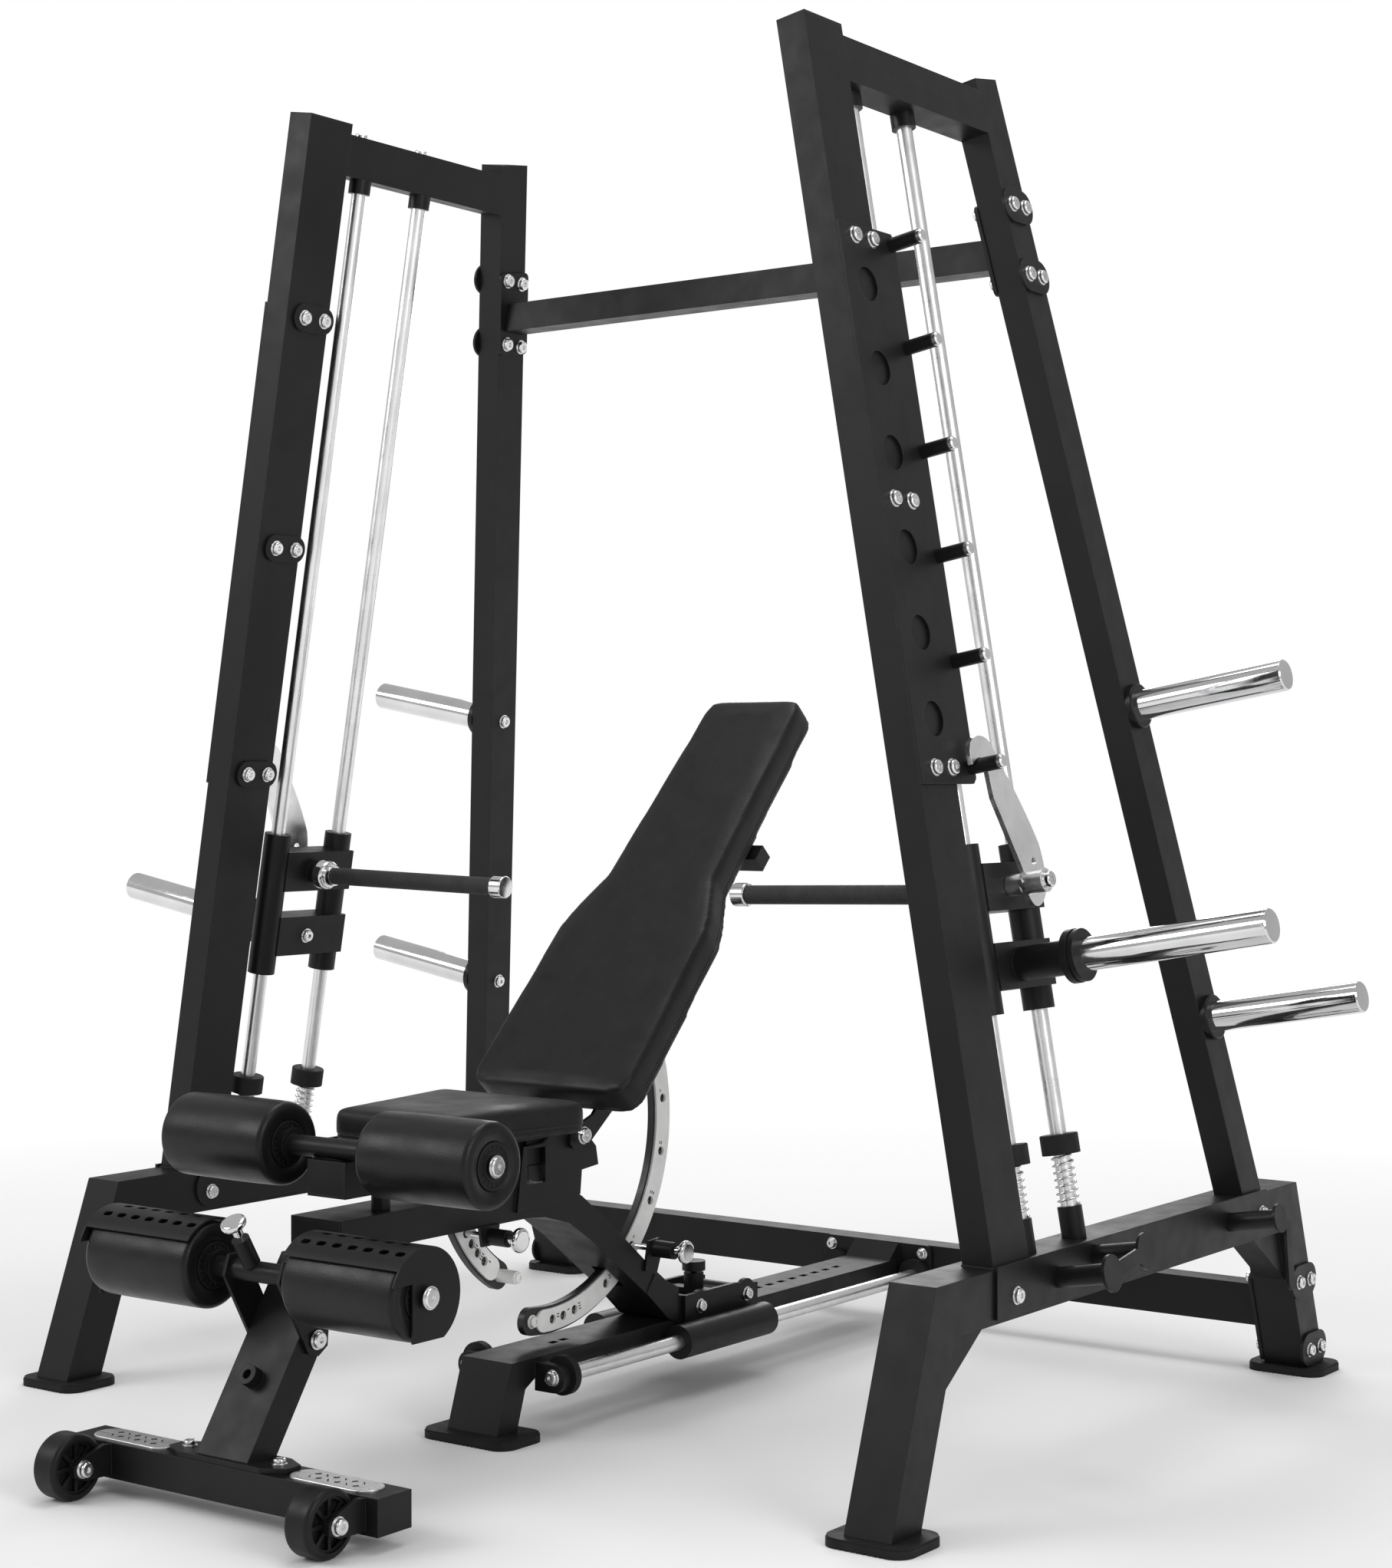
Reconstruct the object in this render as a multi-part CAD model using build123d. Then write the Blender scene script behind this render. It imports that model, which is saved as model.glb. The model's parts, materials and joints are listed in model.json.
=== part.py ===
from build123d import *
import math
import os

# Smith machine with two converging carriages and a sliding adjustable bench.
# World frame: millimetres, +Z up, +X to the user's right, +Y to the back, floor at Z = 0.
# Each side frame is drawn upright in a local frame (u outward, y back, w up) and then
# leaned inward about the Y axis.

# ---- overall placement ----
LEAN = 10.0               # inward lean of each side frame, degrees
FLOOR_X = 901.0           # where the outer face of a side frame would meet the floor
WALL = 3.0                # tube wall

# ---- base rails ----
RAIL_W = 75.0             # width of base rails and legs
RAIL_X = 808.5            # centre of a base rail
RAIL_TOP = 335.0
RAIL_BOTTOM = 259.0
LEG_FOOT_Z = 14.0         # underside of a leg
LEG_RUN = 0.355           # horizontal run of a leg per unit height
LEG_DEPTH = 75.0          # leg section measured level
RAIL_FRONT = -161.0       # front end of the rail's top
RAIL_REAR = 1016.0        # rear end of the rail's top
GUSSET_W = 50.0
FOOT_W = 135.0
FOOT_D = 112.0

# ---- uprights and link ----
UP_W = 50.0               # section across the frame
FRONT_D = 100.0           # front upright section, front to back
REAR_D = 70.0             # rear upright section
REAR_LEAN = 9.84          # forward lean of the rear upright, degrees
REAR_Y0 = 907.8           # rear upright centre line at w = 0
REAR_MID = 1240.0         # middle of the rear upright
REAR_LENGTH = 1916.0
UP_TOP = 2177.0
LINK_TOP = 2162.5
LINK_H = 70.0

# ---- guide rods, sockets, springs and bumpers ----
ROD_U = -36.0
ROD_YS = (150.0, 303.0)
ROD_R = 12.5
SLEEVE_BORE = 12.58
COLLAR_R = 19.0
COLLAR_H = 24.0
SOCKET_TOP = 394.0
SOCKET_R = 18.5
SPRING_R = 15.4
WIRE_R = 1.7
SPRING_PITCH = 10.5
SPRING_TURNS = 7
BUMPER_LOW = 471.5
BUMPER_H = 30.0
BUMPER_R = 29.0

# ---- rack plate and pegs ----
PLATE_T = 5.0
RACK_W0 = 1028.0
RACK_W1 = 1860.0
RACK_D = 150.0
RACK_ROWS = (1052.0, 1447.0, 1842.0)
BOLT_YS = (38.0, 85.0)
RACK_HOLE_R = 26.0
RACK_HOLE_Y = 55.0
RACK_HOLE_STEPS = (70.5, 197.0, 323.5)
PEG_Y = 138.0
PEG_W = 1052.0
PEG_STEP = 158.0
PEG_COUNT = 6
PEG_R = 11.0
PEG_END = 54.0
TIP_END = 62.0

# ---- carriage, horn and handle ----
SLEEVE_R = 24.0
SLEEVE_W0 = 690.0
SLEEVE_W1 = 942.0
BLOCK_W = 50.0
BLOCK_YS = (158.0, 323.0)
UPPER_BLOCK = (841.0, 912.0)
LOWER_BLOCK = (724.0, 794.0)
PIVOT_Y = 227.0           # handle axis
PIVOT_W = 876.0
HORN_W = 759.0
HORN_R = 25.0
HORN_END = 388.0
BOSS_R = 26.0
BOSS_END = 74.0
HORN_FLANGE_R = 40.0
HANDLE_R = 12.0
HANDLE_BORE = 12.06
GRIP_R = 15.0
GRIP_RISE = 8.5           # bend of the grip against its axis, degrees
GRIP_LEN = 372.0
HOOK_U0 = 14.0
HOOK_U1 = 22.0

# ---- storage horns ----
STORE_WS = (637.0, 1155.0)
STORE_END = 262.0
STORE_FLANGE_R = 37.0

# ---- crossbars ----
BAR_W = 1921.0            # centre of the upper crossbar's end plates
UPPER_BAR_Z = 1873.0
UPPER_BAR_SIDE = 50.0
LOWER_BAR_Z = 115.0
LOWER_BAR_H = 70.0
LOWER_BAR_Y = 1055.0
LOWER_BAR_D = 50.0
END_PLATE_T = 6.0

# ---- bench rail ----
TRACK_W = 100.0
TRACK_TOP = 120.0
TRACK_H = 30.0
TRACK_FRONT = -102.0
SIDE_ROD_X = 86.0
SIDE_ROD_Z = 93.0
STOP_R = 31.0
STOP_T = 13.0

# ---- bench ----
SPINE_W = 100.0
SPINE_TOP = 389.0
SPINE_H = 50.0
STEM_LEAN = 33.0
CROSS_HALF = 301.0
CROSS_TOP = 74.0
CROSS_BOTTOM = 23.0
CROSS_Y = (-673.0, -607.0)
WHEEL_R = 47.0
WHEEL_W = 44.0
WHEEL_X = 246.0
WHEEL_Y = -725.0
HINGE_Y = 45.0            # common hinge of seat and backrest
HINGE_Z = 458.0
HINGE_R = 8.0
BACK_ARC_R = 299.0
SEAT_ARC_R = 243.0
ARC_BAND = 22.0           # half the radial width of an adjusting arc
ARC_HOLE_R = 7.5
ROLLER_R = 62.0
ROLLER_X = (92.0, 303.0)
UPPER_ROLLER = (-439.0, 484.5)
LOWER_ROLLER = (-585.0, 327.0)
ROLLER_TUBE_R = 15.0
ARM_PIVOT = (-535.0, 231.0)
PAD_T = 60.0
BACK_RUN = (0.684, 0.729)  # direction of the backrest, front view up the pad

PARTS = {}


def add(name, *shapes):
    """Collect closed solids under a node name."""
    PARTS.setdefault(name, []).extend(shapes)


def box(x0, x1, y0, y1, z0, z1):
    """Box from its limits."""
    centre = Pos((x0 + x1) / 2, (y0 + y1) / 2, (z0 + z1) / 2)
    return centre * Box(abs(x1 - x0), abs(y1 - y0), abs(z1 - z0))


def tube_box(x0, x1, y0, y1, z0, z1, axis, wall=WALL):
    """Rectangular tube, open along the given axis."""
    grow = {"x": (0, wall, wall), "y": (wall, 0, wall), "z": (wall, wall, 0)}[axis]
    inner = box(x0 + grow[0], x1 - grow[0], y0 + grow[1], y1 - grow[1], z0 + grow[2], z1 - grow[2])
    return box(x0, x1, y0, y1, z0, z1) - inner


def rod_x(r, x0, x1, y, z, bore=0.0):
    """Cylinder along X."""
    turn = Pos((x0 + x1) / 2, y, z) * Rot(0, 90, 0)
    solid = turn * Cylinder(r, abs(x1 - x0))
    if bore:
        solid = solid - turn * Cylinder(bore, abs(x1 - x0) + 2)
    return solid


def rod_y(r, y0, y1, x, z, bore=0.0):
    """Cylinder along Y."""
    turn = Pos(x, (y0 + y1) / 2, z) * Rot(90, 0, 0)
    solid = turn * Cylinder(r, abs(y1 - y0))
    if bore:
        solid = solid - turn * Cylinder(bore, abs(y1 - y0) + 2)
    return solid


def rod_z(r, z0, z1, x, y, bore=0.0):
    """Cylinder along Z."""
    at = Pos(x, y, (z0 + z1) / 2)
    solid = at * Cylinder(r, abs(z1 - z0))
    if bore:
        solid = solid - at * Cylinder(bore, abs(z1 - z0) + 2)
    return solid


def slab(points, x0, x1):
    """Polygon given as (y, z) points, thickened along X."""
    face = make_face(Plane.YZ * Polyline(*points, close=True))
    return Pos(x0, 0, 0) * extrude(face, amount=x1 - x0, dir=(1, 0, 0))


def plate_x(sketch, x0, x1):
    """Sketch drawn in (y, z), thickened along X."""
    return Pos(x0, 0, 0) * extrude(Plane.YZ * sketch, amount=x1 - x0, dir=(1, 0, 0))


def bolt_x(x, y, z, r=11.0, h=7.0, out=1):
    """Domed bolt head on a face that looks along X, with its washer and hex socket."""
    washer = rod_x(r + 2.0, x, x + out * 1.5, y, z)
    low, high = sorted((x + out * 1.5, x + out * (1.5 + h)))
    head = rod_x(r, low, high, y, z)
    face = head.faces().sort_by(Axis.X)[-1 if out > 0 else 0]
    head = fillet(face.edges(), 3.0)
    socket = Pos(x + out * (1.5 + h), y, z) * Rot(0, 90, 0) * extrude(RegularPolygon(4.5, 6), 3.0, both=True)
    return washer + head - socket


def bolt_y(x, y, z, r=11.0, h=7.0):
    """The same head on a face that looks along -Y."""
    return Pos(x, y, z) * Rot(0, 0, -90) * bolt_x(0, 0, 0, r, h)


def bolt_z(x, y, z, r=11.0, h=7.0):
    """The same head on a face that looks up."""
    return Pos(x, y, z) * Rot(0, -90, 0) * bolt_x(0, 0, 0, r, h)


def lean(shape):
    """Local side-frame coordinates to the right-hand side frame in the world."""
    return Pos(FLOOR_X, 0, 0) * Rot(0, -LEAN, 0) * shape


def both(name, shape):
    """Add a right-hand shape and its mirror image under one node."""
    add(name, shape, mirror(shape, about=Plane.YZ))


def pair(name, shape):
    """Add a right-hand shape and its mirror image as separate nodes."""
    add(name + "_right", shape)
    add(name + "_left", mirror(shape, about=Plane.YZ))


def below(z):
    """Everything under a level, for trimming leaned tubes to the base rail."""
    return box(-2000, 2000, -2000, 2000, -2000, z)


def rear_axis(w):
    """Y of the rear upright's centre line at height w in the side frame."""
    return REAR_Y0 - math.tan(math.radians(REAR_LEAN)) * w


def rear_tube(inner=False):
    """Rear upright in side-frame coordinates, solid, or its inside."""
    trim = WALL if inner else 0.0
    length = REAR_LENGTH + (40.0 if inner else 0.0)
    place = Pos(-UP_W / 2, rear_axis(REAR_MID), REAR_MID) * Rot(REAR_LEAN, 0, 0)
    return place * Box(UP_W - 2 * trim, REAR_D - 2 * trim, length)


def base_rail():
    """Welded rail: front leg, beam and rear leg of one section, with corner gussets."""
    x0 = RAIL_X - RAIL_W / 2
    x1 = RAIL_X + RAIL_W / 2

    def outline(t, foot):
        drop = RAIL_TOP - t
        run_f = RAIL_FRONT - LEG_RUN * (drop - foot) - LEG_RUN * t
        front_in = [(RAIL_FRONT + t - LEG_RUN * t, drop), (run_f + t, foot)]
        front_out = [(run_f + LEG_DEPTH - t, foot)]
        rise = LEG_RUN * (RAIL_BOTTOM + t - foot)
        front_out.append((run_f + LEG_DEPTH - t + rise, RAIL_BOTTOM + t))
        run_r = RAIL_REAR + LEG_RUN * (drop - foot) + LEG_RUN * t
        rear_in = [(run_r - LEG_DEPTH + t - rise, RAIL_BOTTOM + t), (run_r - LEG_DEPTH + t, foot)]
        rear_out = [(run_r - t, foot), (RAIL_REAR - t + LEG_RUN * t, drop)]
        return front_in + front_out + rear_in + rear_out

    rail = slab(outline(0.0, LEG_FOOT_Z), x0, x1)
    rail -= slab(outline(WALL, LEG_FOOT_Z - 8.0), x0 + WALL, x1 - WALL)
    g0 = RAIL_X - GUSSET_W / 2
    g1 = RAIL_X + GUSSET_W / 2
    front_leg_y = RAIL_FRONT + LEG_DEPTH - LEG_RUN * (RAIL_TOP - RAIL_BOTTOM)
    low_f = front_leg_y - LEG_RUN * 92.0
    gusset_f = slab([(front_leg_y, RAIL_BOTTOM), (low_f, RAIL_BOTTOM - 92.0), (-11.0, RAIL_BOTTOM)], g0, g1)
    rear_leg_y = RAIL_REAR - LEG_DEPTH + LEG_RUN * (RAIL_TOP - RAIL_BOTTOM)
    low_r = rear_leg_y + LEG_RUN * 90.0
    gusset_r = slab([(rear_leg_y, RAIL_BOTTOM), (865.0, RAIL_BOTTOM), (low_r, RAIL_BOTTOM - 90.0)], g0, g1)
    return rail + gusset_f + gusset_r


def foot(x, y, width=FOOT_W, depth=FOOT_D, z_top=LEG_FOOT_Z):
    """Rubber pad with a toothed rim, and the steel plate above it."""
    plate_t = 3.0
    outer = RectangleRounded(width, depth, 28.0)
    pad = Pos(x, y, 0) * extrude(outer, z_top - plate_t)
    tooth = 2.2
    step = 9.0
    count = int((width - 60.0) / step)
    for i in range(count + 1):
        tx = x - count * step / 2 + i * step
        pad -= rod_y(tooth, y - depth, y + depth, tx, 0.0)
    plate = Pos(x, y, z_top - plate_t) * extrude(RectangleRounded(width - 3, depth - 3, 27.0), plate_t)
    return pad, plate


def leg_foot_y(front):
    """Centre of a leg's foot."""
    run = LEG_RUN * (RAIL_TOP - LEG_FOOT_Z)
    if front:
        return RAIL_FRONT - run + LEG_DEPTH / 2
    return RAIL_REAR + run - LEG_DEPTH / 2


def rear_leg_y(z):
    """Centre line of the rear leg at height z."""
    return leg_foot_y(False) - LEG_RUN * (z - LEG_FOOT_Z)


def side_frame():
    """Base rails, uprights, links and everything bolted to them."""
    both("base_rails", base_rail())
    for y in (leg_foot_y(True), leg_foot_y(False)):
        pad, plate = foot(RAIL_X, y)
        both("foot_pads", pad)
        both("foot_pads", plate)

    front = tube_box(-UP_W, 0, 0, FRONT_D, 250.0, UP_TOP, "z")
    both("front_uprights", lean(front) - below(RAIL_TOP))
    rear = lean(rear_tube() - rear_tube(inner=True)) - below(RAIL_TOP)
    both("rear_uprights", rear)
    cap_t = 3.0
    front_cap = box(-UP_W, 0, 0, FRONT_D, UP_TOP, UP_TOP + cap_t)
    top = REAR_MID + (REAR_LENGTH / 2) * math.cos(math.radians(REAR_LEAN))
    rear_cap = Pos(-UP_W / 2, rear_axis(top), top) * Rot(REAR_LEAN, 0, 0) * Pos(0, 0, cap_t / 2)
    both("upright_caps", lean(front_cap))
    both("upright_caps", lean(rear_cap * Box(UP_W, REAR_D, cap_t)))
    link = tube_box(-UP_W, 0, FRONT_D, 520.0, LINK_TOP - LINK_H, LINK_TOP, "y") - rear_tube()
    link = link.solids().sort_by(Axis.Y)[0]
    both("top_links", lean(link))

    outer = slab([(-5, 266), (-5, 340), (885, 340), (905, 266)], 0, PLATE_T)
    both("bolted_plates", Pos(RAIL_X + RAIL_W / 2, 0, 0) * outer)
    inner_plate = plate_x(Pos(455, 300) * RectangleRounded(880, 66, 32), 0, PLATE_T)
    both("bolted_plates", Pos(RAIL_X - RAIL_W / 2 - PLATE_T, 0, 0) * inner_plate)
    for y, z in ((49.0, 293.0), (866.0, 302.0)):
        both("frame_bolts", bolt_x(RAIL_X + RAIL_W / 2 + PLATE_T, y, z))
        both("frame_bolts", bolt_x(RAIL_X - RAIL_W / 2 - PLATE_T, y, z, out=-1))


def rack():
    """Slotted-looking rack plate with its row of catch pegs on each side."""
    plate = box(0, PLATE_T, 0, RACK_D, RACK_W0, RACK_W1)
    plate = chamfer(plate.edges().filter_by(Axis.X).sort_by(Axis.Y)[-2:], 8.0)
    centre = RACK_ROWS[1]
    for step in RACK_HOLE_STEPS:
        for sign in (-1, 1):
            plate -= rod_x(RACK_HOLE_R, -1, PLATE_T + 1, RACK_HOLE_Y, centre + sign * step)
    both("rack_plates", lean(plate))
    for i in range(PEG_COUNT):
        w = PEG_W + i * PEG_STEP
        both("catch_pegs", lean(rod_x(PEG_R, PLATE_T, PEG_END, PEG_Y, w)))
        tip = rod_x(PEG_R - 1.0, PEG_END, TIP_END, PEG_Y, w)
        tip = chamfer(tip.faces().sort_by(Axis.X)[-1].edges(), 2.0)
        both("frame_bolts", lean(tip))
    for w in RACK_ROWS:
        mid = sum(BOLT_YS) / 2
        oval = plate_x(Pos(mid, w) * SlotOverall(94, 46), -UP_W - PLATE_T, -UP_W)
        both("bolted_plates", lean(oval))
        for y in BOLT_YS:
            both("frame_bolts", lean(bolt_x(PLATE_T, y, w)))
            both("frame_bolts", lean(bolt_x(-UP_W - PLATE_T, y, w, out=-1)))


def rods():
    """Guide rods between base rail and link, with collars, sockets and springs."""
    link_low = LINK_TOP - LINK_H
    for y in ROD_YS:
        rod = rod_z(ROD_R, 250.0, link_low, ROD_U, y)
        both("guide_rods", lean(rod) - below(RAIL_TOP))
        collar = rod_z(COLLAR_R, link_low - COLLAR_H, link_low, ROD_U, y, ROD_R)
        both("rod_mounts", lean(collar))
        socket = rod_z(SOCKET_R, 250.0, SOCKET_TOP, ROD_U, y, ROD_R)
        both("rod_mounts", lean(socket) - below(RAIL_TOP))
        wire = spring_wire()
        pair("springs", lean(Pos(ROD_U, y, SOCKET_TOP + WIRE_R + 0.3) * wire))
        bumper = rod_z(BUMPER_R, BUMPER_LOW, BUMPER_LOW + BUMPER_H, ROD_U, y, SLEEVE_BORE)
        bumper = fillet(bumper.faces().sort_by(Axis.Z)[-1].edges().sort_by(SortBy.RADIUS)[-1:], 2.0)
        pair("bumpers", lean(bumper))
        both("frame_bolts", lean(bolt_z(ROD_U + 11.0, y, LINK_TOP)))


def spring_wire():
    """One compression spring standing on the XY plane."""
    path = Helix(SPRING_PITCH, SPRING_PITCH * SPRING_TURNS, SPRING_R)
    start = Plane(origin=path @ 0, z_dir=path % 0)
    return sweep(start * Circle(WIRE_R), path=path, is_frenet=True)


def storage_horns():
    """Plate storage horns on the outer face of each rear upright."""
    for w in STORE_WS:
        y = rear_axis(w)
        flange = rod_x(STORE_FLANGE_R, 0, 12.0, y, w)
        flange = fillet(flange.faces().sort_by(Axis.X)[-1].edges(), 3.0)
        both("horn_flanges", lean(flange))
        both("storage_horns", lean(rod_x(HORN_R, 12.0, STORE_END, y, w)))
        cap = rod_x(HORN_R, STORE_END, STORE_END + 6.0, y, w)
        cap = chamfer(cap.faces().sort_by(Axis.X)[-1].edges(), 2.0)
        both("storage_horns", lean(cap))
        both("frame_bolts", lean(bolt_x(-UP_W, y, w, out=-1)))


def storage_pegs():
    """Three upswept pegs on each outer side plate."""
    x = RAIL_X + RAIL_W / 2 + PLATE_T
    up = Rot(0, -LEAN, 0)
    reach = 84.0
    spots = ((172.0, 300.0), (283.0, 316.0), (746.0, 303.0))
    for y, z in spots:
        peg = Pos(x, y, z) * up * rod_x(15.0, -20, reach, 0, 0)
        both("storage_pegs", peg - box(0, x, -500, 1500, 0, 600))
    (ya, za), (yb, zb), (yc, zc) = spots
    length = math.hypot(yb - ya, zb - za)
    tilt = math.degrees(math.atan2(zb - za, yb - ya))
    discs = Circle(27.0) + Pos(length, 0) * Circle(27.0) + Pos(length / 2, 0) * Rectangle(length, 22.0)
    tie = Rot(tilt, 0, 0) * plate_x(discs, reach, reach + 5.0)
    both("storage_pegs", Pos(x, ya, za) * up * tie)
    hook = Circle(23.0) + Pos(14, -60) * Rot(0, 0, -14) * SlotOverall(112, 20, rotation=90)
    both("storage_pegs", Pos(x, yc, zc) * up * plate_x(hook, reach, reach + 5.0))


def crossbars():
    """Upper crossbar between rear uprights and lower beam between rear legs."""
    y = rear_axis(BAR_W)
    place = Pos(-UP_W - END_PLATE_T, y, BAR_W) * Rot(REAR_LEAN, 0, 0)
    plate = place * plate_x(RectangleRounded(76, 150, 10), 0, END_PLATE_T)
    both("bolted_plates", lean(plate))
    half = UPPER_BAR_SIDE / 2
    yc = rear_axis(UPPER_BAR_Z / math.cos(math.radians(LEAN)))
    bar = tube_box(-600, 600, yc - half, yc + half, UPPER_BAR_Z - half, UPPER_BAR_Z + half, "x")
    trim = lean(box(-UP_W - END_PLATE_T, 400, -200, 1400, 1000, 2400))
    add("crossbars", bar - trim - mirror(trim, about=Plane.YZ))
    for w in (BAR_W - 57.0, BAR_W + 57.0):
        yb = rear_axis(w)
        both("bolted_plates", lean(plate_x(Pos(yb, w) * SlotOverall(92, 56), 0, PLATE_T)))
        for dy in (-20.0, 20.0):
            both("frame_bolts", lean(bolt_x(PLATE_T, yb + dy, w)))
            both("frame_bolts", lean(bolt_x(-UP_W - END_PLATE_T, yb + dy, w, out=-1)))

    inner = RAIL_X - RAIL_W / 2
    outer = RAIL_X + RAIL_W / 2
    lean_leg = math.degrees(math.atan(LEG_RUN))
    mid_z = 104.0
    at = Pos(inner - END_PLATE_T, rear_leg_y(mid_z), mid_z) * Rot(lean_leg, 0, 0)
    both("bolted_plates", at * plate_x(RectangleRounded(76, 164, 10), 0, END_PLATE_T))
    z0 = LOWER_BAR_Z - LOWER_BAR_H / 2
    y0 = LOWER_BAR_Y - LOWER_BAR_D / 2
    reach = inner - END_PLATE_T
    beam = tube_box(-reach, reach, y0, y0 + LOWER_BAR_D, z0, z0 + LOWER_BAR_H, "x")
    add("crossbars", beam)
    for z in (mid_z - 61.0, mid_z + 61.0):
        yb = rear_leg_y(z)
        both("bolted_plates", plate_x(Pos(yb, z) * SlotOverall(98, 56), outer, outer + PLATE_T))
        for dy in (-22.0, 22.0):
            both("frame_bolts", bolt_x(outer + PLATE_T, yb + dy, z, r=10.0))
            both("frame_bolts", bolt_x(inner - END_PLATE_T, yb + dy, z, r=10.0, out=-1))


def carriage():
    """Welded carriage on its two guide rods, with the plate-loading horn."""
    u0 = ROD_U - BLOCK_W / 2
    u1 = ROD_U + BLOCK_W / 2
    body = None
    for y in ROD_YS:
        sleeve = rod_z(SLEEVE_R, SLEEVE_W0, SLEEVE_W1, ROD_U, y)
        body = sleeve if body is None else body + sleeve
    for low, high in (UPPER_BLOCK, LOWER_BLOCK):
        body += box(u0, u1, BLOCK_YS[0], BLOCK_YS[1], low, high)
    body += rod_x(BOSS_R, u1 - 5, BOSS_END, PIVOT_Y, HORN_W)
    body += rod_x(20.0, u0 - 14, u0 + 5, PIVOT_Y, PIVOT_W)
    for y in ROD_YS:
        body -= rod_z(SLEEVE_BORE, SLEEVE_W0 - 5, SLEEVE_W1 + 5, ROD_U, y)
    body -= rod_x(HANDLE_BORE, u0 - 30, u1 + 30, PIVOT_Y, PIVOT_W)
    pair("carriage", lean(body))
    flange = rod_x(HORN_FLANGE_R, BOSS_END, BOSS_END + 11.0, PIVOT_Y, HORN_W)
    flange += rod_x(HORN_FLANGE_R - 3.0, BOSS_END + 11.0, BOSS_END + 14.0, PIVOT_Y, HORN_W)
    flange += rod_x(HORN_FLANGE_R - 1.0, BOSS_END + 14.0, BOSS_END + 22.0, PIVOT_Y, HORN_W)
    pair("carriage", lean(flange))
    horn = rod_x(HORN_R, BOSS_END + 22.0, HORN_END, PIVOT_Y, HORN_W)
    pair("loading_horn", lean(horn))
    cap = rod_x(HORN_R - 0.2, HORN_END, HORN_END + 6.0, PIVOT_Y, HORN_W)
    cap = chamfer(cap.faces().sort_by(Axis.X)[-1].edges(), 2.0)
    pair("loading_horn", lean(cap))
    pair("loading_horn", lean(bolt_x(u0, PIVOT_Y, HORN_W, r=11.0, out=-1)))


def handle():
    """Turning handle: shaft through the carriage, bent grip inside, catch hook outside."""
    u0 = ROD_U - BLOCK_W / 2
    start = u0 - 14.5
    shaft = rod_x(HANDLE_R, start - 8, 52.0, PIVOT_Y, PIVOT_W)
    collar = rod_x(26.0, start - 26, start, PIVOT_Y, PIVOT_W)
    collar = fillet(collar.edges().filter_by(GeomType.CIRCLE), 7.0)
    bend = Pos(start - 22, PIVOT_Y, PIVOT_W) * Rot(0, GRIP_RISE, 0)
    neck = bend * rod_x(17.5, -16, 4, 0, 0)
    core = bend * rod_x(9.0, -GRIP_LEN - 18, -8, 0, 0)
    end = bend * rod_x(19.0, -GRIP_LEN - 42, -GRIP_LEN - 16, 0, 0)
    end = fillet(end.edges().filter_by(GeomType.CIRCLE), 3.0)
    pair("handle_bar", lean(shaft + collar + neck + core + end))
    grip = bend * rod_x(GRIP_R, -GRIP_LEN - 16, -16, 0, 0, 9.0)
    pair("handle_grip", lean(grip))

    arm = hook_arm()
    bush = rod_x(18.0, HOOK_U1, HOOK_U1 + 30.0, PIVOT_Y, PIVOT_W, HANDLE_R)
    inner_bush = rod_x(16.0, ROD_U + BLOCK_W / 2 + 0.6, HOOK_U0, PIVOT_Y, PIVOT_W, HANDLE_R)
    pair("catch_hook", lean(arm + bush + inner_bush))
    pair("handle_bar", lean(bolt_x(52.0, PIVOT_Y, PIVOT_W, r=12.0, h=9.0)))


def hook_arm():
    """Flat hook that swings over the catch peg and can turn off it backward."""
    reach_y = PIVOT_Y - PEG_Y
    reach_w = PEG_W - PIVOT_W
    reach = math.hypot(reach_y, reach_w)
    hung = math.degrees(math.atan2(reach_w, -reach_y))
    throat = PEG_R + 1.2
    rear = [(158, 1046), (163, 1000), (176, 942), (196, 897), (222, 858)]
    heel = [(222, 858), (248, 841), (272, 857), (281, 893), (274, 935)]
    front = [(274, 935), (250, 978), (221, 1022), (180, 1080)]
    crown = [(180, 1080), (152, 1096), (122, 1088), (114, 1064)]
    outline = Curve() + [Spline(*run) for run in (rear, heel, front, crown)]
    face = make_face(outline + Polyline((114, 1064), (118, 1040), (158, 1046)))
    lane = Pos(PIVOT_Y, PIVOT_W) * (Circle(reach + throat) - Circle(reach - throat))
    sector = [(0, 0)]
    for i in range(5):
        angle = math.radians(hung + 12.0 * i)
        sector.append((400 * math.cos(angle), 400 * math.sin(angle)))
    lane &= Pos(PIVOT_Y, PIVOT_W) * make_face(Polyline(*sector, close=True))
    under = Pos(PIVOT_Y, PIVOT_W) * (Circle(reach) & make_face(Polyline(*sector, close=True)))
    shape = face - lane - under - Pos(PEG_Y, PEG_W) * Circle(throat)
    shape = shape - Pos(PIVOT_Y, PIVOT_W) * Circle(HANDLE_R) - Pos(252, 907) * Circle(6.5)
    return plate_x(shape, HOOK_U0, HOOK_U1)


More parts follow.
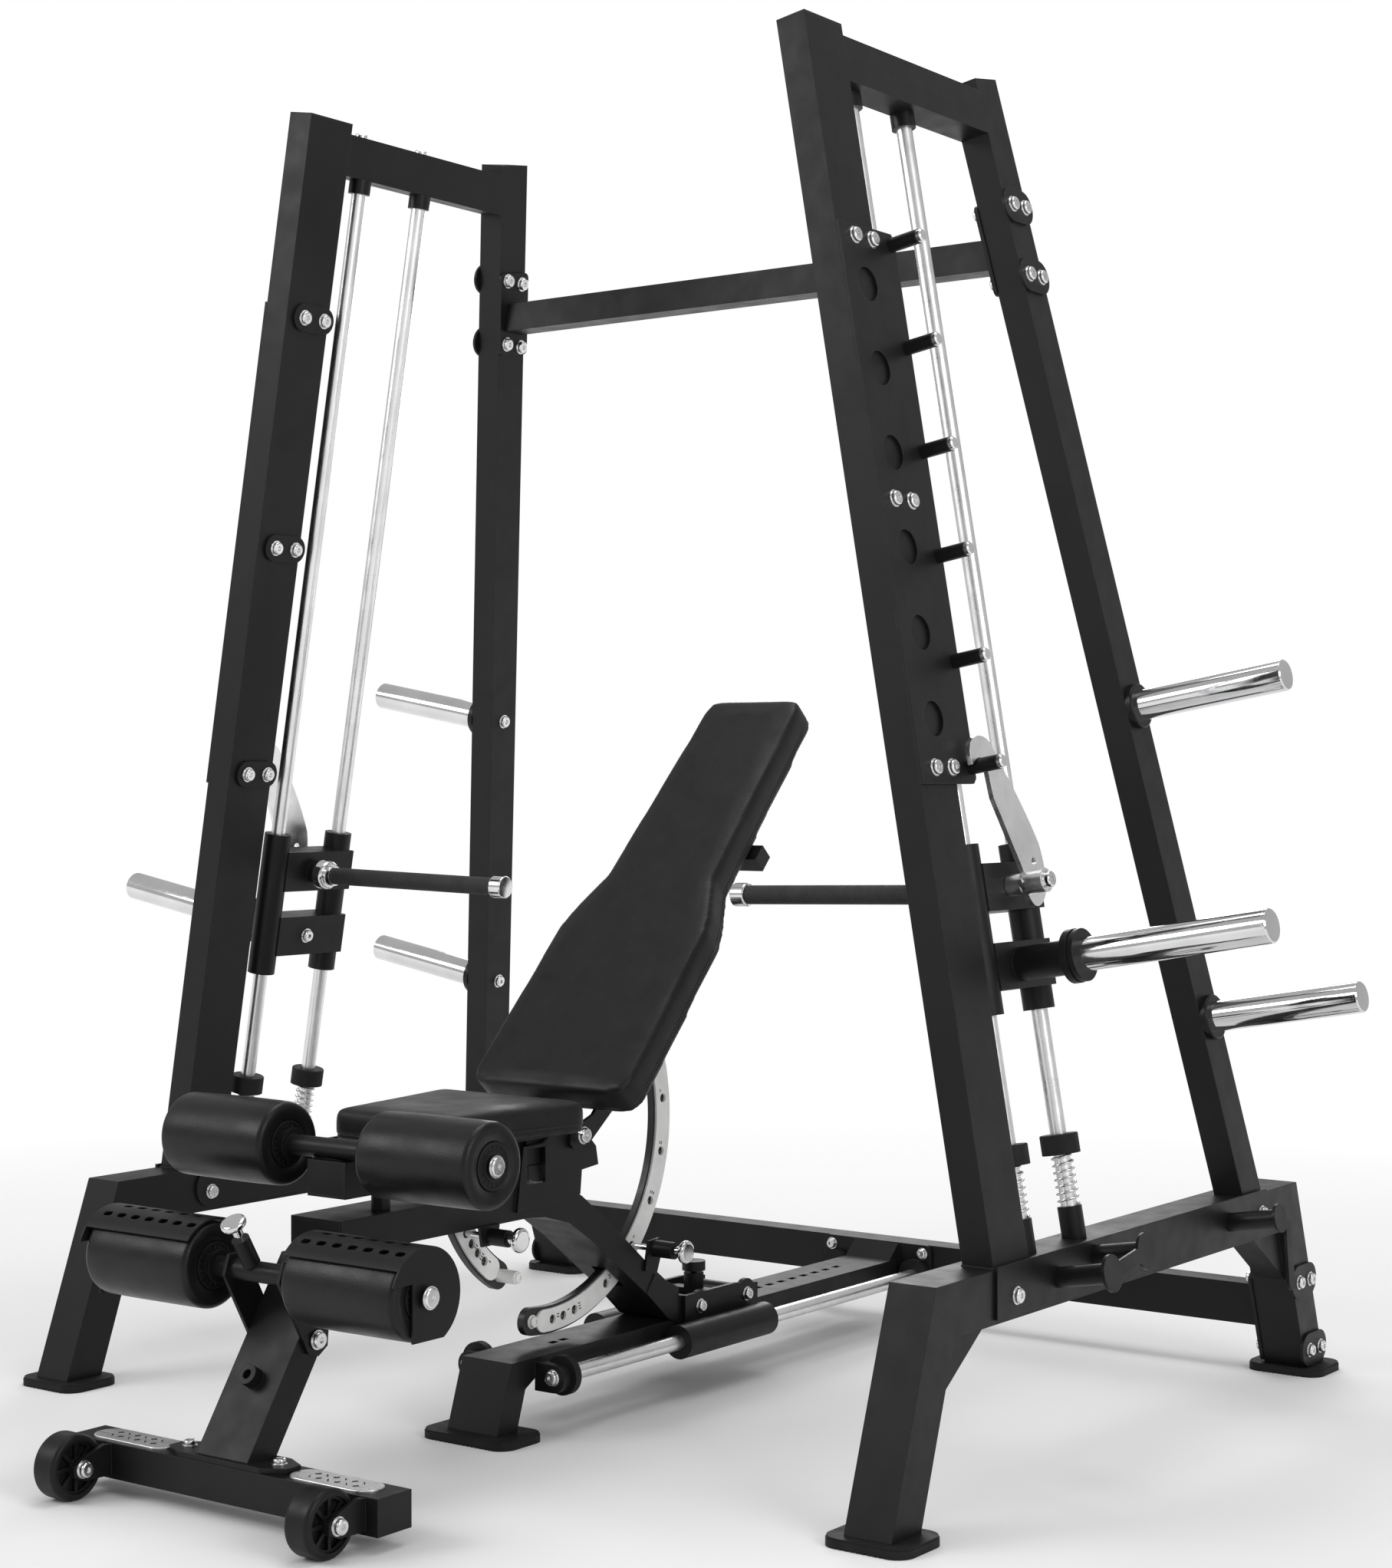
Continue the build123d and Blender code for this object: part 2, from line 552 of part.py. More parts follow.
def bench_track():
    """Rail that the bench slides on, its side rods, stops and end mounts."""
    half = TRACK_W / 2
    z0 = TRACK_TOP - TRACK_H
    rear = LOWER_BAR_Y - LOWER_BAR_D / 2 - 6.0
    tube = tube_box(-half, half, TRACK_FRONT - 30, rear, z0, TRACK_TOP, "y")
    run = 0.33
    drop = TRACK_TOP - LEG_FOOT_Z
    tube -= slab([(TRACK_FRONT - 60, TRACK_TOP + 5), (TRACK_FRONT + run * 5, TRACK_TOP + 5),
                  (TRACK_FRONT - run * 40, TRACK_TOP - 40), (TRACK_FRONT - 60, TRACK_TOP - 40)], -60, 60)
    leg_d = 48.0
    leg = slab([(TRACK_FRONT, TRACK_TOP), (TRACK_FRONT - run * drop, LEG_FOOT_Z),
                (TRACK_FRONT - run * drop + leg_d, LEG_FOOT_Z), (TRACK_FRONT + leg_d - run * 45, 75),
                (TRACK_FRONT + leg_d + 12, z0), (TRACK_FRONT + leg_d + 12, TRACK_TOP)], -half, half)
    web = box(-half + WALL, half - WALL, TRACK_FRONT + 34, TRACK_FRONT + leg_d + 20, z0 + WALL, TRACK_TOP - WALL)
    track = tube + leg - web
    slot_w = 5.0
    slots = [60.0 + 26.0 * i for i in range(2)] + [560.0 + 36.0 * i for i in range(10)]
    for y in slots:
        track -= Pos(0, y, TRACK_TOP) * Box(slot_w * 2.4, 18.0, 12.0)
    add("bench_track", track)
    pad, plate = foot(0, TRACK_FRONT - run * drop + leg_d / 2, 176.0, 104.0)
    add("foot_pads", pad, plate)

    arm_y = (-46.0, -26.0)
    ends = SlotOverall(2 * SIDE_ROD_X + 44.0, 44.0)
    arms = Pos(0, arm_y[1], SIDE_ROD_Z - 2) * Rot(90, 0, 0) * extrude(ends, arm_y[1] - arm_y[0])
    arms -= box(-half, half, -80, 0, 60, TRACK_TOP + 5)
    for piece in arms.solids():
        add("bench_track", piece)
    rear_plate = RectangleRounded(236, 76, 12)
    mount = Pos(0, rear + 6.0, 112.0) * Rot(90, 0, 0) * extrude(rear_plate, 6.0)
    wedge = slab([(rear - 34, TRACK_TOP), (rear, TRACK_TOP), (rear, TRACK_TOP + 28), (rear - 2, TRACK_TOP + 28)], -48, 48)
    add("bench_track", mount + wedge)
    for sx in (-1, 1):
        x = sx * SIDE_ROD_X
        add("guide_rods", rod_y(ROD_R, arm_y[1], rear, x, SIDE_ROD_Z))
        add("track_stops", rod_y(STOP_R, arm_y[1], arm_y[1] + STOP_T, x, SIDE_ROD_Z, ROD_R))
        add("track_stops", rod_y(STOP_R, rear - STOP_T, rear, x, SIDE_ROD_Z, ROD_R))
        add("frame_bolts", bolt_y(x, arm_y[0], SIDE_ROD_Z))
        add("frame_bolts", bolt_y(sx * 100, rear, 134.0, r=9.0))


def annulus(r, band, a0, a1, x0, x1, round_ends=True):
    """Arc-shaped plate about the bench hinge, from angle a0 to a1 in the YZ plane."""
    ring = Circle(r + band) - Circle(r - band)
    wedge_pts = [(0, 0)]
    steps = 12
    for i in range(steps + 1):
        a = math.radians(a0 + (a1 - a0) * i / steps)
        wedge_pts.append((900 * math.cos(a), 900 * math.sin(a)))
    sector = make_face(Polyline(*wedge_pts, close=True))
    shape = ring & sector
    if round_ends:
        for a in (a0, a1):
            rad = math.radians(a)
            shape += Pos(r * math.cos(rad), r * math.sin(rad)) * Circle(band)
    return plate_x(Pos(HINGE_Y, HINGE_Z) * shape, x0, x1)


def at_hinge(r, angle):
    """(y, z) at a radius and angle about the bench hinge."""
    a = math.radians(angle)
    return HINGE_Y + r * math.cos(a), HINGE_Z + r * math.sin(a)


def bench_frame():
    """Sled, spine, stem and foot of the bench."""
    half = SPINE_W / 2
    for sx in (-1, 1):
        x = sx * SIDE_ROD_X
        sleeve = rod_y(28.0, 280.0, 530.0, x, SIDE_ROD_Z, SLEEVE_BORE)
        inner, outer = sorted((sx * 52.0, sx * 60.0))
        shape = slab([(335, 106), (335, 158), (480, 158), (545, 150), (545, 106)], inner, outer)
        shape += rod_x(25.0, inner, outer, 512.0, 136.0) + rod_x(25.0, inner, outer, 377.0, 136.0)
        web = box(min(sx * 58, sx * 86), max(sx * 58, sx * 86), 300, 510, 96, 112)
        sled = sleeve + shape + web - rod_y(SLEEVE_BORE, 270, 540, x, SIDE_ROD_Z)
        add("sled", sled)
        for y in (377.0, 512.0):
            add("bench_bolts", bolt_x(sx * 60.0, y, 135.0, r=10.0, out=sx))
    for y in (377.0, 512.0):
        add("sled", rod_x(14.8, -51.8, 51.8, y, 135.0))

    spine_low = SPINE_TOP - SPINE_H
    top_line = [(-478, SPINE_TOP), (-60, SPINE_TOP), (10, 383), (70, 358), (120, 322), (180, 276), (240, 228),
                (296, 188), (330, 172)]
    low_line = [(330, 124), (300, 126), (230, 183), (160, 235), (95, 283), (40, 318), (-20, 335), (-60, spine_low),
                (-478, spine_low)]
    spine = slab(top_line + low_line, -half, half)
    core_top = [(-484, SPINE_TOP - 4), (-60, SPINE_TOP - 4), (9, 379), (68, 354), (118, 318), (178, 272),
                (238, 224), (292, 186)]
    core_low = [(292, 138), (232, 187), (163, 239), (97, 287), (41, 322), (-20, 339), (-60, spine_low + 4),
                (-484, spine_low + 4)]
    spine -= slab(core_top + core_low, -half + 4, half - 4)
    riser = slab([(262, 205), (296, 188), (330, 158), (345, 158), (345, 108), (300, 124), (240, 175)], half, half + 2)
    spine += riser + mirror(riser, about=Plane.YZ)
    gap = 15.0
    spine -= annulus(BACK_ARC_R, ARC_BAND + 8, -100, 20, -gap, gap)
    spine -= annulus(SEAT_ARC_R, ARC_BAND + 6, -185, -100, -gap, gap)
    add("bench_spine", spine)
    plug_t = 8.0
    add("bench_spine", box(-half + 4, half - 4, -478, -478 + plug_t, spine_low + 4, SPINE_TOP - 4))

    for sx in (-1, 1):
        inner, outer = sorted((sx * 50.0, sx * 56.0))
        cheek = slab([(-95, 352), (-80, 452), (-30, 452), (20, 478), (54, 478), (100, 434), (106, 404), (64, 400),
                      (60, 362), (0, 352)], inner, outer)
        cheek -= box(-100, 100, -73, -27, 392, 447)
        cheek -= rod_x(HINGE_R + 0.06, inner - 1, outer + 1, HINGE_Y, HINGE_Z)
        add("bench_spine", cheek)
    pin = rod_x(HINGE_R, -74.0, 74.0, HINGE_Y, HINGE_Z)
    add("bench_bolts", pin)
    for sx in (-1, 1):
        add("bench_bolts", bolt_x(sx * 74.0, HINGE_Y, HINGE_Z, r=12.0, out=sx))

    stem_top = spine_low
    run = math.tan(math.radians(STEM_LEAN))
    foot_z = CROSS_TOP + 8.0
    y_foot = -664.0
    y_top = y_foot + run * (stem_top - foot_z)
    depth = 57.0
    stem = slab([(y_foot, foot_z), (y_foot + depth, foot_z), (y_top + depth, stem_top), (y_top, stem_top)], -half, half)
    stem -= slab([(y_foot + 4 - run * 5, foot_z - 5), (y_foot + depth - 4 - run * 5, foot_z - 5),
                  (y_top + depth - 4, stem_top - 4), (y_top + 4, stem_top - 4)], -half + 4, half - 4)
    boss_z = 180.0
    boss_y = y_foot + run * (boss_z - foot_z)
    boss = Pos(0, boss_y, boss_z) * Rot(90 - STEM_LEAN, 0, 0) * (Pos(0, 0, 8) * Cylinder(15, 20))
    boss -= Pos(0, boss_y, boss_z) * Rot(90 - STEM_LEAN, 0, 0) * (Pos(0, 0, 14) * Cylinder(7, 12))
    boss -= slab([(y_foot + 2, foot_z), (y_foot + depth, foot_z), (y_top + depth, stem_top), (y_top + 2, stem_top)],
                 -half, half)
    add("bench_stem", stem + boss - rod_x(7.0, -60, 60, *ARM_PIVOT))
    cross_mid = sum(CROSS_Y) / 2
    flange = Polygon((-115, -14), (-80, -32), (80, -32), (115, -14), (115, 14), (80, 32), (-80, 32), (-115, 14),
                     align=None)
    add("bench_stem", Pos(0, cross_mid, CROSS_TOP) * extrude(flange, 8.0))
    for sx in (-1, 1):
        add("bench_bolts", bolt_z(sx * 88.0, cross_mid, foot_z, r=9.0))
    cross = tube_box(-CROSS_HALF + 5, CROSS_HALF - 5, CROSS_Y[0], CROSS_Y[1], CROSS_BOTTOM, CROSS_TOP, "x")
    add("foot_crossbar", cross)
    for sx in (-1, 1):
        a, b = sorted((sx * (CROSS_HALF - 5), sx * CROSS_HALF))
        add("foot_crossbar", box(a, b, CROSS_Y[0], CROSS_Y[1], CROSS_BOTTOM, CROSS_TOP))
        tread = extrude(SlotOverall(156, 52), 3.0)
        tread = fillet(tread.faces().sort_by(Axis.Z)[-1].edges(), 1.2)
        add("tread_plates", Pos(sx * 196, cross_mid, CROSS_TOP) * tread)


def bench_wheels():
    """Two fixed casters in front of the foot crossbar."""
    for side, sx in (("right", 1), ("left", -1)):
        x = sx * WHEEL_X
        wheel = rod_x(WHEEL_R, x - WHEEL_W / 2, x + WHEEL_W / 2, WHEEL_Y, WHEEL_R)
        wheel = fillet(wheel.edges().filter_by(GeomType.CIRCLE), 7.0)
        rim = rod_x(WHEEL_R - 10, x - WHEEL_W / 2 - 1, x + WHEEL_W / 2 + 1, WHEEL_Y, WHEEL_R)
        add(f"wheel_{side}", wheel - rim)
        hub = rod_x(WHEEL_R - 10, x - 18, x + 18, WHEEL_Y, WHEEL_R)
        for face_x in (x - 18, x + 18):
            hub -= rod_x(WHEEL_R - 14, face_x - 7, face_x + 7, WHEEL_Y, WHEEL_R, 14.0)
        for i in range(8):
            spoke = Pos(0, WHEEL_Y, WHEEL_R) * Rot(i * 45, 0, 0) * box(x - 18, x + 18, -2.5, 2.5, 13, WHEEL_R - 12)
            hub += spoke
        hub += rod_x(15.0, x - 22, x + 22, WHEEL_Y, WHEEL_R)
        hub -= rod_x(6.06, x - 30, x + 30, WHEEL_Y, WHEEL_R)
        add(f"wheel_{side}", hub)
        axle = rod_x(6.0, x - 22.5, x + 33.0, WHEEL_Y, WHEEL_R)
        add("bench_bolts", axle + bolt_x(x + 33.0, WHEEL_Y, WHEEL_R, r=11.0, h=9.0))
        add("bench_bolts", bolt_x(x - 22.5, WHEEL_Y, WHEEL_R, r=8.0, out=-1))
        yoke = slab([(CROSS_Y[0], 28), (CROSS_Y[0], 72), (CROSS_Y[0] - 12, 74), (WHEEL_Y + 4, 64), (WHEEL_Y - 16, 52),
                     (WHEEL_Y - 16, 38), (WHEEL_Y + 2, 30)], x + 25, x + 33)
        yoke -= rod_x(6.0, x + 20, x + 40, WHEEL_Y, WHEEL_R)
        add("foot_crossbar", yoke)


def pad_place():
    """Frame of the backrest: X across, Y up the pad, Z out of its face."""
    return Plane(origin=(0, 34, 531), x_dir=(1, 0, 0), z_dir=(0, -BACK_RUN[1], BACK_RUN[0]))


def backrest():
    """Backrest pad, board, frame tube and long adjusting arc."""
    place = pad_place()
    up = [(128, -3), (152, 6), (160, 24), (158, 180), (156, 330), (146, 372), (116, 450), (107, 650), (100, 838),
          (93, 859), (76, 866)]
    outline = Polygon(*(up + [(-x, y) for x, y in reversed(up)]), align=None)
    pad = place * extrude(outline, -PAD_T)
    pad = fillet(pad.faces().sort_by(Axis((0, 0, 0), tuple(place.z_dir)))[-1].edges(), 8.0)
    add("backrest_pad", pad)
    low = -PAD_T - 0.4
    board = place * Pos(0, 0, low) * extrude(Pos(0, 430) * Rectangle(150, 780), -6.0)
    tube = place * box(-30, 30, 60, 660, low - 6.0 - 40.0, low - 6.0)
    tube -= place * box(-27, 27, 63, 657, low - 43.0, low - 9.0)
    add("backrest_frame", board, tube)
    for sx in (-1, 1):
        inner, outer = sorted((sx * 58.0, sx * 64.0))
        pts = [(HINGE_Y - 20, HINGE_Z - 12), (HINGE_Y - 12, HINGE_Z - 21), (HINGE_Y + 26, HINGE_Z - 18),
               (HINGE_Y + 170, HINGE_Z + 93), (HINGE_Y + 130, HINGE_Z + 128), (HINGE_Y + 38, HINGE_Z + 28),
               (HINGE_Y - 14, HINGE_Z + 10)]
        lug = slab(pts, inner, outer) - rod_x(HINGE_R + 0.06, inner - 1, outer + 1, HINGE_Y, HINGE_Z)
        tie_a, tie_b = sorted((sx * 30.0, sx * 58.0))
        tie = place * box(tie_a, tie_b, 90, 160, low - 30.0, low - 6.0)
        grab_a, grab_b = sorted((sx * 30.0, sx * 118.0))
        grab = place * box(grab_a, grab_b, 545, 577, low - 36.0, low - 6.0)
        add("backrest_frame", lug - board, tie, grab)
    back_a0 = -98.0
    back_a1 = 37.5
    rear = annulus(BACK_ARC_R, ARC_BAND, back_a0, back_a1, -9, 3)
    front = annulus(BACK_ARC_R, ARC_BAND - 4, back_a0 + 5, back_a1, 3, 7)
    keep_off = place * box(-40, 40, -200, 900, low - 46.0, 60)
    holes = (4.9, -12.1, -28.4, -44.7, -61.4, -78.2, -83.7, -88.9)
    for angle in holes:
        y, z = at_hinge(BACK_ARC_R, angle)
        rear -= rod_x(ARC_HOLE_R, -12, 12, y, z)
        front -= rod_x(ARC_HOLE_R, -12, 12, y, z)
    add("backrest_arc", rear - keep_off)
    add("backrest_arc", front - keep_off)
    y, z = at_hinge(BACK_ARC_R, back_a0)
    add("backrest_arc", bolt_x(3.0, y, z, r=9.0))


def seat():
    """Seat pad, frame tube, upper roller bar and short adjusting arc."""
    half = 37.5
    front_y = -457.0
    plug_t = 8.0
    add("seat_frame", tube_box(-half, half, front_y, -12, 416, 469, "y"))
    add("seat_frame", box(-half + WALL, half - WALL, front_y, front_y + plug_t, 416 + WALL, 469 - WALL))
    for sx in (-1, 1):
        a, b = sorted((sx * half, sx * (half + 7)))
        lug = slab([(-60, 420), (-60, 466), (20, 478), (58, 476), (64, 450), (46, 438), (0, 420)], a, b)
        add("seat_frame", lug - rod_x(HINGE_R + 0.06, a - 1, b + 1, HINGE_Y, HINGE_Z))
    add("seat_frame", box(-95, 95, -325, -64, 469, 475.5))
    points = [(-105, -340), (105, -340), (154, -34), (-154, -34)]
    pad = Pos(0, 0, 476) * extrude(fillet(Polygon(*points, align=None).vertices(), 18.0), 50.0)
    pad = fillet(pad.faces().sort_by(Axis.Z)[-1].edges(), 13.0)
    add("seat_pad", pad)
    y, z = UPPER_ROLLER
    bar = rod_x(ROLLER_TUBE_R, -ROLLER_X[0] + 6, ROLLER_X[0] - 6, y, z)
    bar += rod_x(ROLLER_TUBE_R - 5, -ROLLER_X[1], ROLLER_X[1], y, z)
    bar += rod_x(24.0, -ROLLER_X[0] + 3, -ROLLER_X[0] + 9, y, z) + rod_x(24.0, ROLLER_X[0] - 9, ROLLER_X[0] - 3, y, z)
    add("upper_roller_bar", bar)
    rear = annulus(SEAT_ARC_R, ARC_BAND, -172.0, -120.0, -9, 3)
    front = annulus(SEAT_ARC_R, ARC_BAND - 4, -172.0, -126.0, 3, 7)
    for angle in (-146.6, -141.5, -136.4, -131.3):
        hy, hz = at_hinge(SEAT_ARC_R, angle)
        rear -= rod_x(ARC_HOLE_R, -12, 12, hy, hz)
        front -= rod_x(ARC_HOLE_R, -12, 12, hy, hz)
    keep_off = box(-40, 40, -500, 100, 416, 600)
    add("seat_arc", rear - keep_off)
    add("seat_arc", front - keep_off)
    y, z = at_hinge(SEAT_ARC_R, -120.0)
    add("seat_arc", rod_x(10.5, 3, 40, y, z) + bolt_x(40, y, z, r=8.0, h=4.0))
    rest = rod_z(14.0, SPINE_TOP, 415.4, 22.0, -366.0)
    add("pin_barrels", rest)


def roller(side, sx, centre, level):
    """One foam roller with its end caps."""
    y, z = centre
    a, b = sorted((sx * ROLLER_X[0], sx * ROLLER_X[1]))
    foam = rod_x(ROLLER_R, a, b, y, z, ROLLER_TUBE_R - 5 + 0.06)
    foam = fillet(foam.edges().filter_by(GeomType.CIRCLE).sort_by(SortBy.RADIUS)[-2:], 6.0)
    add(f"{level}_roller_{side}", foam)


def rollers():
    """Four foam rollers on two bars, with end bolts."""
    for side, sx in (("right", 1), ("left", -1)):
        roller(side, sx, UPPER_ROLLER, "upper")
        roller(side, sx, LOWER_ROLLER, "lower")
        x = sx * ROLLER_X[1]
        add("upper_roller_bolts", bolt_x(sx * (ROLLER_X[1] + 3.0), *UPPER_ROLLER, r=14.0, h=4.0, out=sx))


def roller_arm():
    """Swinging arm that carries the lower rollers under perforated shields."""
    y, z = LOWER_ROLLER
    py, pz = ARM_PIVOT
    arm = rod_x(ROLLER_TUBE_R, -ROLLER_X[0] + 6, ROLLER_X[0] - 6, y, z)
    arm += rod_x(ROLLER_TUBE_R - 5, -ROLLER_X[1] - 12, ROLLER_X[1] + 12, y, z)
    arm += rod_x(24.0, -ROLLER_X[0] + 3, -ROLLER_X[0] + 9, y, z) + rod_x(24.0, ROLLER_X[0] - 9, ROLLER_X[0] - 3, y, z)
    for sx in (-1, 1):
        a, b = sorted((sx * 50.5, sx * 56.5))
        cheek = slab([(y - 24, z - 6), (y - 14, z + 22), (y + 14, z + 24), (y + 26, z + 4), (py + 24, pz + 10),
                      (py + 22, pz - 12), (py + 4, pz - 24), (py - 16, pz - 18), (py - 26, pz + 2)], a, b)
        arm += cheek - rod_x(7.06, a - 1, b + 1, py, pz)
    add("roller_arm", arm)
    add("bench_bolts", rod_x(7.0, -58.0, 58.0, py, pz))
    for sx in (-1, 1):
        add("bench_bolts", bolt_x(sx * 58.0, py, pz, r=12.0, out=sx))
        shield(sx)


def shield(sx):
    """Curved perforated cover over a lower roller, hung on the end of the bar."""
    y, z = LOWER_ROLLER
    r0 = ROLLER_R + 3.5
    r1 = r0 + 3.0
    a, b = sorted((sx * (ROLLER_X[0] + 2), sx * (ROLLER_X[1] + 2)))
    ring = Circle(r1) - Circle(r0)
    pts = [(0, 0)] + [(120 * math.cos(math.radians(t)), 120 * math.sin(math.radians(t))) for t in range(52, 143, 10)]
    sheet = ring & make_face(Polyline(*pts, close=True))
    cover = plate_x(Pos(y, z) * sheet, a, b)
    for row, angle in enumerate((70.0, 94.0, 118.0)):
        for i in range(7):
            hx = a + 22 + i * 29.0 + (14.0 if row == 1 else 0.0)
            if hx > b - 14:
                continue
            hole = Pos(hx, y, z) * Rot(angle - 90, 0, 0) * Pos(0, 0, r0 + 1.5) * extrude(SlotOverall(17, 10), 8.0, both=True)
            cover -= hole
    end_x = sx * (ROLLER_X[1] + 2)
    c, d = sorted((end_x, end_x + sx * 3.0))
    disc = Circle(r1) - Pos(-62, -34) * Rectangle(70, 110) - Pos(0, -74) * Rectangle(160, 30)
    disc = disc - Circle(10.06)
    end = plate_x(Pos(y, z) * disc, c, d)
    add("roller_shields", cover + end)
    add("lower_roller_bolts", bolt_x(sx * (ROLLER_X[1] + 12.0), y, z, r=14.0, h=4.0, out=sx))


def knob(length, reach, r_shaft=5.0):
    """Spring pin with a mushroom knob, drawn along +X from its tip."""
    pin = rod_x(r_shaft, 0, reach, 0, 0)
    neck = rod_x(8.0, reach - 12, reach, 0, 0)
    head = rod_x(19.0, reach, reach + length, 0, 0)
    head = fillet(head.edges().filter_by(GeomType.CIRCLE), length / 2 - 0.5)
    return pin + neck + head


def pins():
    """Spring pins that lock seat, backrest, roller arm and sled."""
    y, z = at_hinge(SEAT_ARC_R, -146.6)
    add("seat_pin", Pos(7.6, y, z) * knob(12.0, 100.0))
    y2, z2 = at_hinge(BACK_ARC_R, -44.7)
    add("backrest_pin", Pos(7.6, y2, z2) * knob(12.0, 104.0))
    seat_barrel = rod_x(13.0, 50.0, 92.0, y, z, 5.06)
    tab = slab([(y - 18, z - 14), (y + 18, z - 14), (y + 22, 341), (y - 24, 341)], 50.0, 55.0)
    tab -= rod_x(5.06, 40, 60, y, z)
    add("pin_barrels", seat_barrel + tab)
    back_barrel = rod_x(14.0, 50.2, 96.0, y2, z2, 5.06)
    web = slab([(y2 - 26, z2 - 34), (y2 + 6, z2 - 40), (y2 + 18, z2 - 10), (y2 + 12, z2 + 16), (y2 - 16, z2 + 14)], 50.2, 55)
    web -= rod_x(5.06, 40, 60, y2, z2)
    add("pin_barrels", back_barrel + web)

    ay, az = LOWER_ROLLER
    tilt = Pos(-14, ay, az) * Rot(30.5, 0, 0)
    barrel = tilt * rod_z(13.0, 14.0, 58.0, 0, 0, 5.06)
    barrel -= rod_x(ROLLER_TUBE_R, -80, 80, ay, az)
    add("roller_arm", barrel)
    add("arm_pin", tilt * (Pos(0, 0, 16.0) * Rot(0, -90, 0) * knob(12.0, 62.0)))

    lock = rod_z(17.0, 142.0, 176.0, 0, 440.0, 5.06)
    lock += box(-52, 52, 428, 452, 142, 150) - rod_z(5.06, 100, 200, 0, 440.0)
    add("pin_barrels", lock)
    add("lock_pin", rod_z(5.0, 120.6, 186.0, 0, 440.0) + rod_z(20.0, 180.0, 196.0, 0, 440.0))


def build():
    """Draw every sub-part."""
    side_frame()
    rack()
    rods()
    storage_horns()
    storage_pegs()
    crossbars()
    carriage()
    handle()
    bench_track()
    bench_frame()
    bench_wheels()
    backrest()
    seat()
    rollers()
    roller_arm()
    pins()


def write():
    """Move the footprint's middle to the origin and write one STEP file per node."""
    os.makedirs("parts", exist_ok=True)
    front = WHEEL_Y - WHEEL_R
    rear = leg_foot_y(False) + FOOT_D / 2
    centre_y = (front + rear) / 2
    for name, shapes in PARTS.items():
        solids = []
        for shape in shapes:
            solids.extend((Pos(0, -centre_y, 0) * shape).solids())
        part = solids[0] if len(solids) == 1 else Compound(children=solids)
        part.label = name
        export_step(part, f"parts/{name}.step")
    print(len(PARTS), "nodes")


build()
write()
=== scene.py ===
import bpy
import bmesh
import json
import math
from mathutils import Matrix, Vector, noise


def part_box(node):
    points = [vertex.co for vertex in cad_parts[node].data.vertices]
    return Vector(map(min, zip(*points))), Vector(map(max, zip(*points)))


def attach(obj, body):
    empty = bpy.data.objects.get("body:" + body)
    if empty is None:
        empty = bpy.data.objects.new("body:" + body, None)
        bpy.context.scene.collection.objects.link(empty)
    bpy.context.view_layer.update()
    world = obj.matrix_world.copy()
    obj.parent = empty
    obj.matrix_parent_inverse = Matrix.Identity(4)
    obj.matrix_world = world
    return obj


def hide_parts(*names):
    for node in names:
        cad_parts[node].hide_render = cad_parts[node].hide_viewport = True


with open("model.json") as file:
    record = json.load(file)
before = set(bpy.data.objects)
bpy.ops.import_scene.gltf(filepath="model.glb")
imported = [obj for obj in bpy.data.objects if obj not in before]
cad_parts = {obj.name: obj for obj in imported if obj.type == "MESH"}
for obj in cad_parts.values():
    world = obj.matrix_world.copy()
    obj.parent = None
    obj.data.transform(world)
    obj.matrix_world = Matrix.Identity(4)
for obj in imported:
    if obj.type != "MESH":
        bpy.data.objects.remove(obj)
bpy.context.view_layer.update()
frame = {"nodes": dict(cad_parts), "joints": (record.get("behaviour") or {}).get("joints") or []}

# Metres throughout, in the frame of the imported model; angles are in degrees.
SIDES = (("right", 1), ("left", -1))
HINGE = Vector(next(j for j in frame["joints"] if j["name"] == "seat_tilt")["pos_m"])

# Side frames
LEAN = 10.0                                # inward lean
UPRIGHT_WIDE = 0.05
WELD_R = 0.0028

# Pads
PAD_FOOT = HINGE + Vector((0.0, -0.011, 0.073))     # front lower edge of the backrest
PAD_OUT = Vector((0.0, -0.7295, 0.684))    # out of the backrest's face
BACKREST_THICK = 0.06
PAD_INSET = 0.003                          # room left for the swelling
PAD_VOXEL = 0.006
PRESSURE = 0.5
SWELL_CAP = 0.003                          # most that a pad may swell
CLOTH_FRAMES = 20
SEAM_WIDTH = 0.0022
SEAM_DEPTH = 0.0016
WELT_R = 0.0011
STITCH_ROW = 0.006                         # from the seam to the row of stitches
STITCH_EVERY = 0.0056
STITCH_LIFT = 0.0004
STITCH_SIZE = (0.0032, 0.0011, 0.0011)

# Rollers, their caps and the grips
ROLLER_R = 0.062
ROLLER_BORE = 0.0135
ROLLER_SHOULDER = 0.009
ROLLER_CROWN = 0.0008
ROLLER_RIPPLE = 0.0007
DISH_R = 0.034                             # flat bottom of the dished end
DISH_DEEP = 0.004
CAP_TEETH = 18
CAP_TOOTH = (0.0012, 0.0018, 0.006)
CAP_TOOTH_AT = (0.0026, 0.0255)            # out of the dish, and from the axis
GRIP_BORE = 0.0092
GRIP_R = 0.0148
GRIP_RIB_R = 0.0151
GRIP_GROOVE_R = 0.0147
GRIP_RIB_EVERY = 0.004

# Foot plates and adjusting arcs
TREAD_ROWS, TREAD_COLUMNS = 2, 6
TREAD_PITCH = 0.017
TREAD_FROM_END = 0.078                     # middle of the pattern, from the plate's outer end
TREAD_BAR = (0.0085, 0.002, 0.0012)
TREAD_SLANT = 50.0
ARC_FACE_X = 0.007
ARC_TICK = (0.0006, 0.0018, 0.0052)
TICK_PAST_HOLE = 2.6
TICK_STEP = 0.0045
ARC_HOLES = {                              # radius of the row of holes, and each hole's angle
    "backrest": (0.299, (4.9, -12.1, -28.4, -44.7, -61.4, -78.2, -83.7, -88.9)),
    "seat": (0.243, (-146.6, -141.5, -136.4, -131.3)),
}

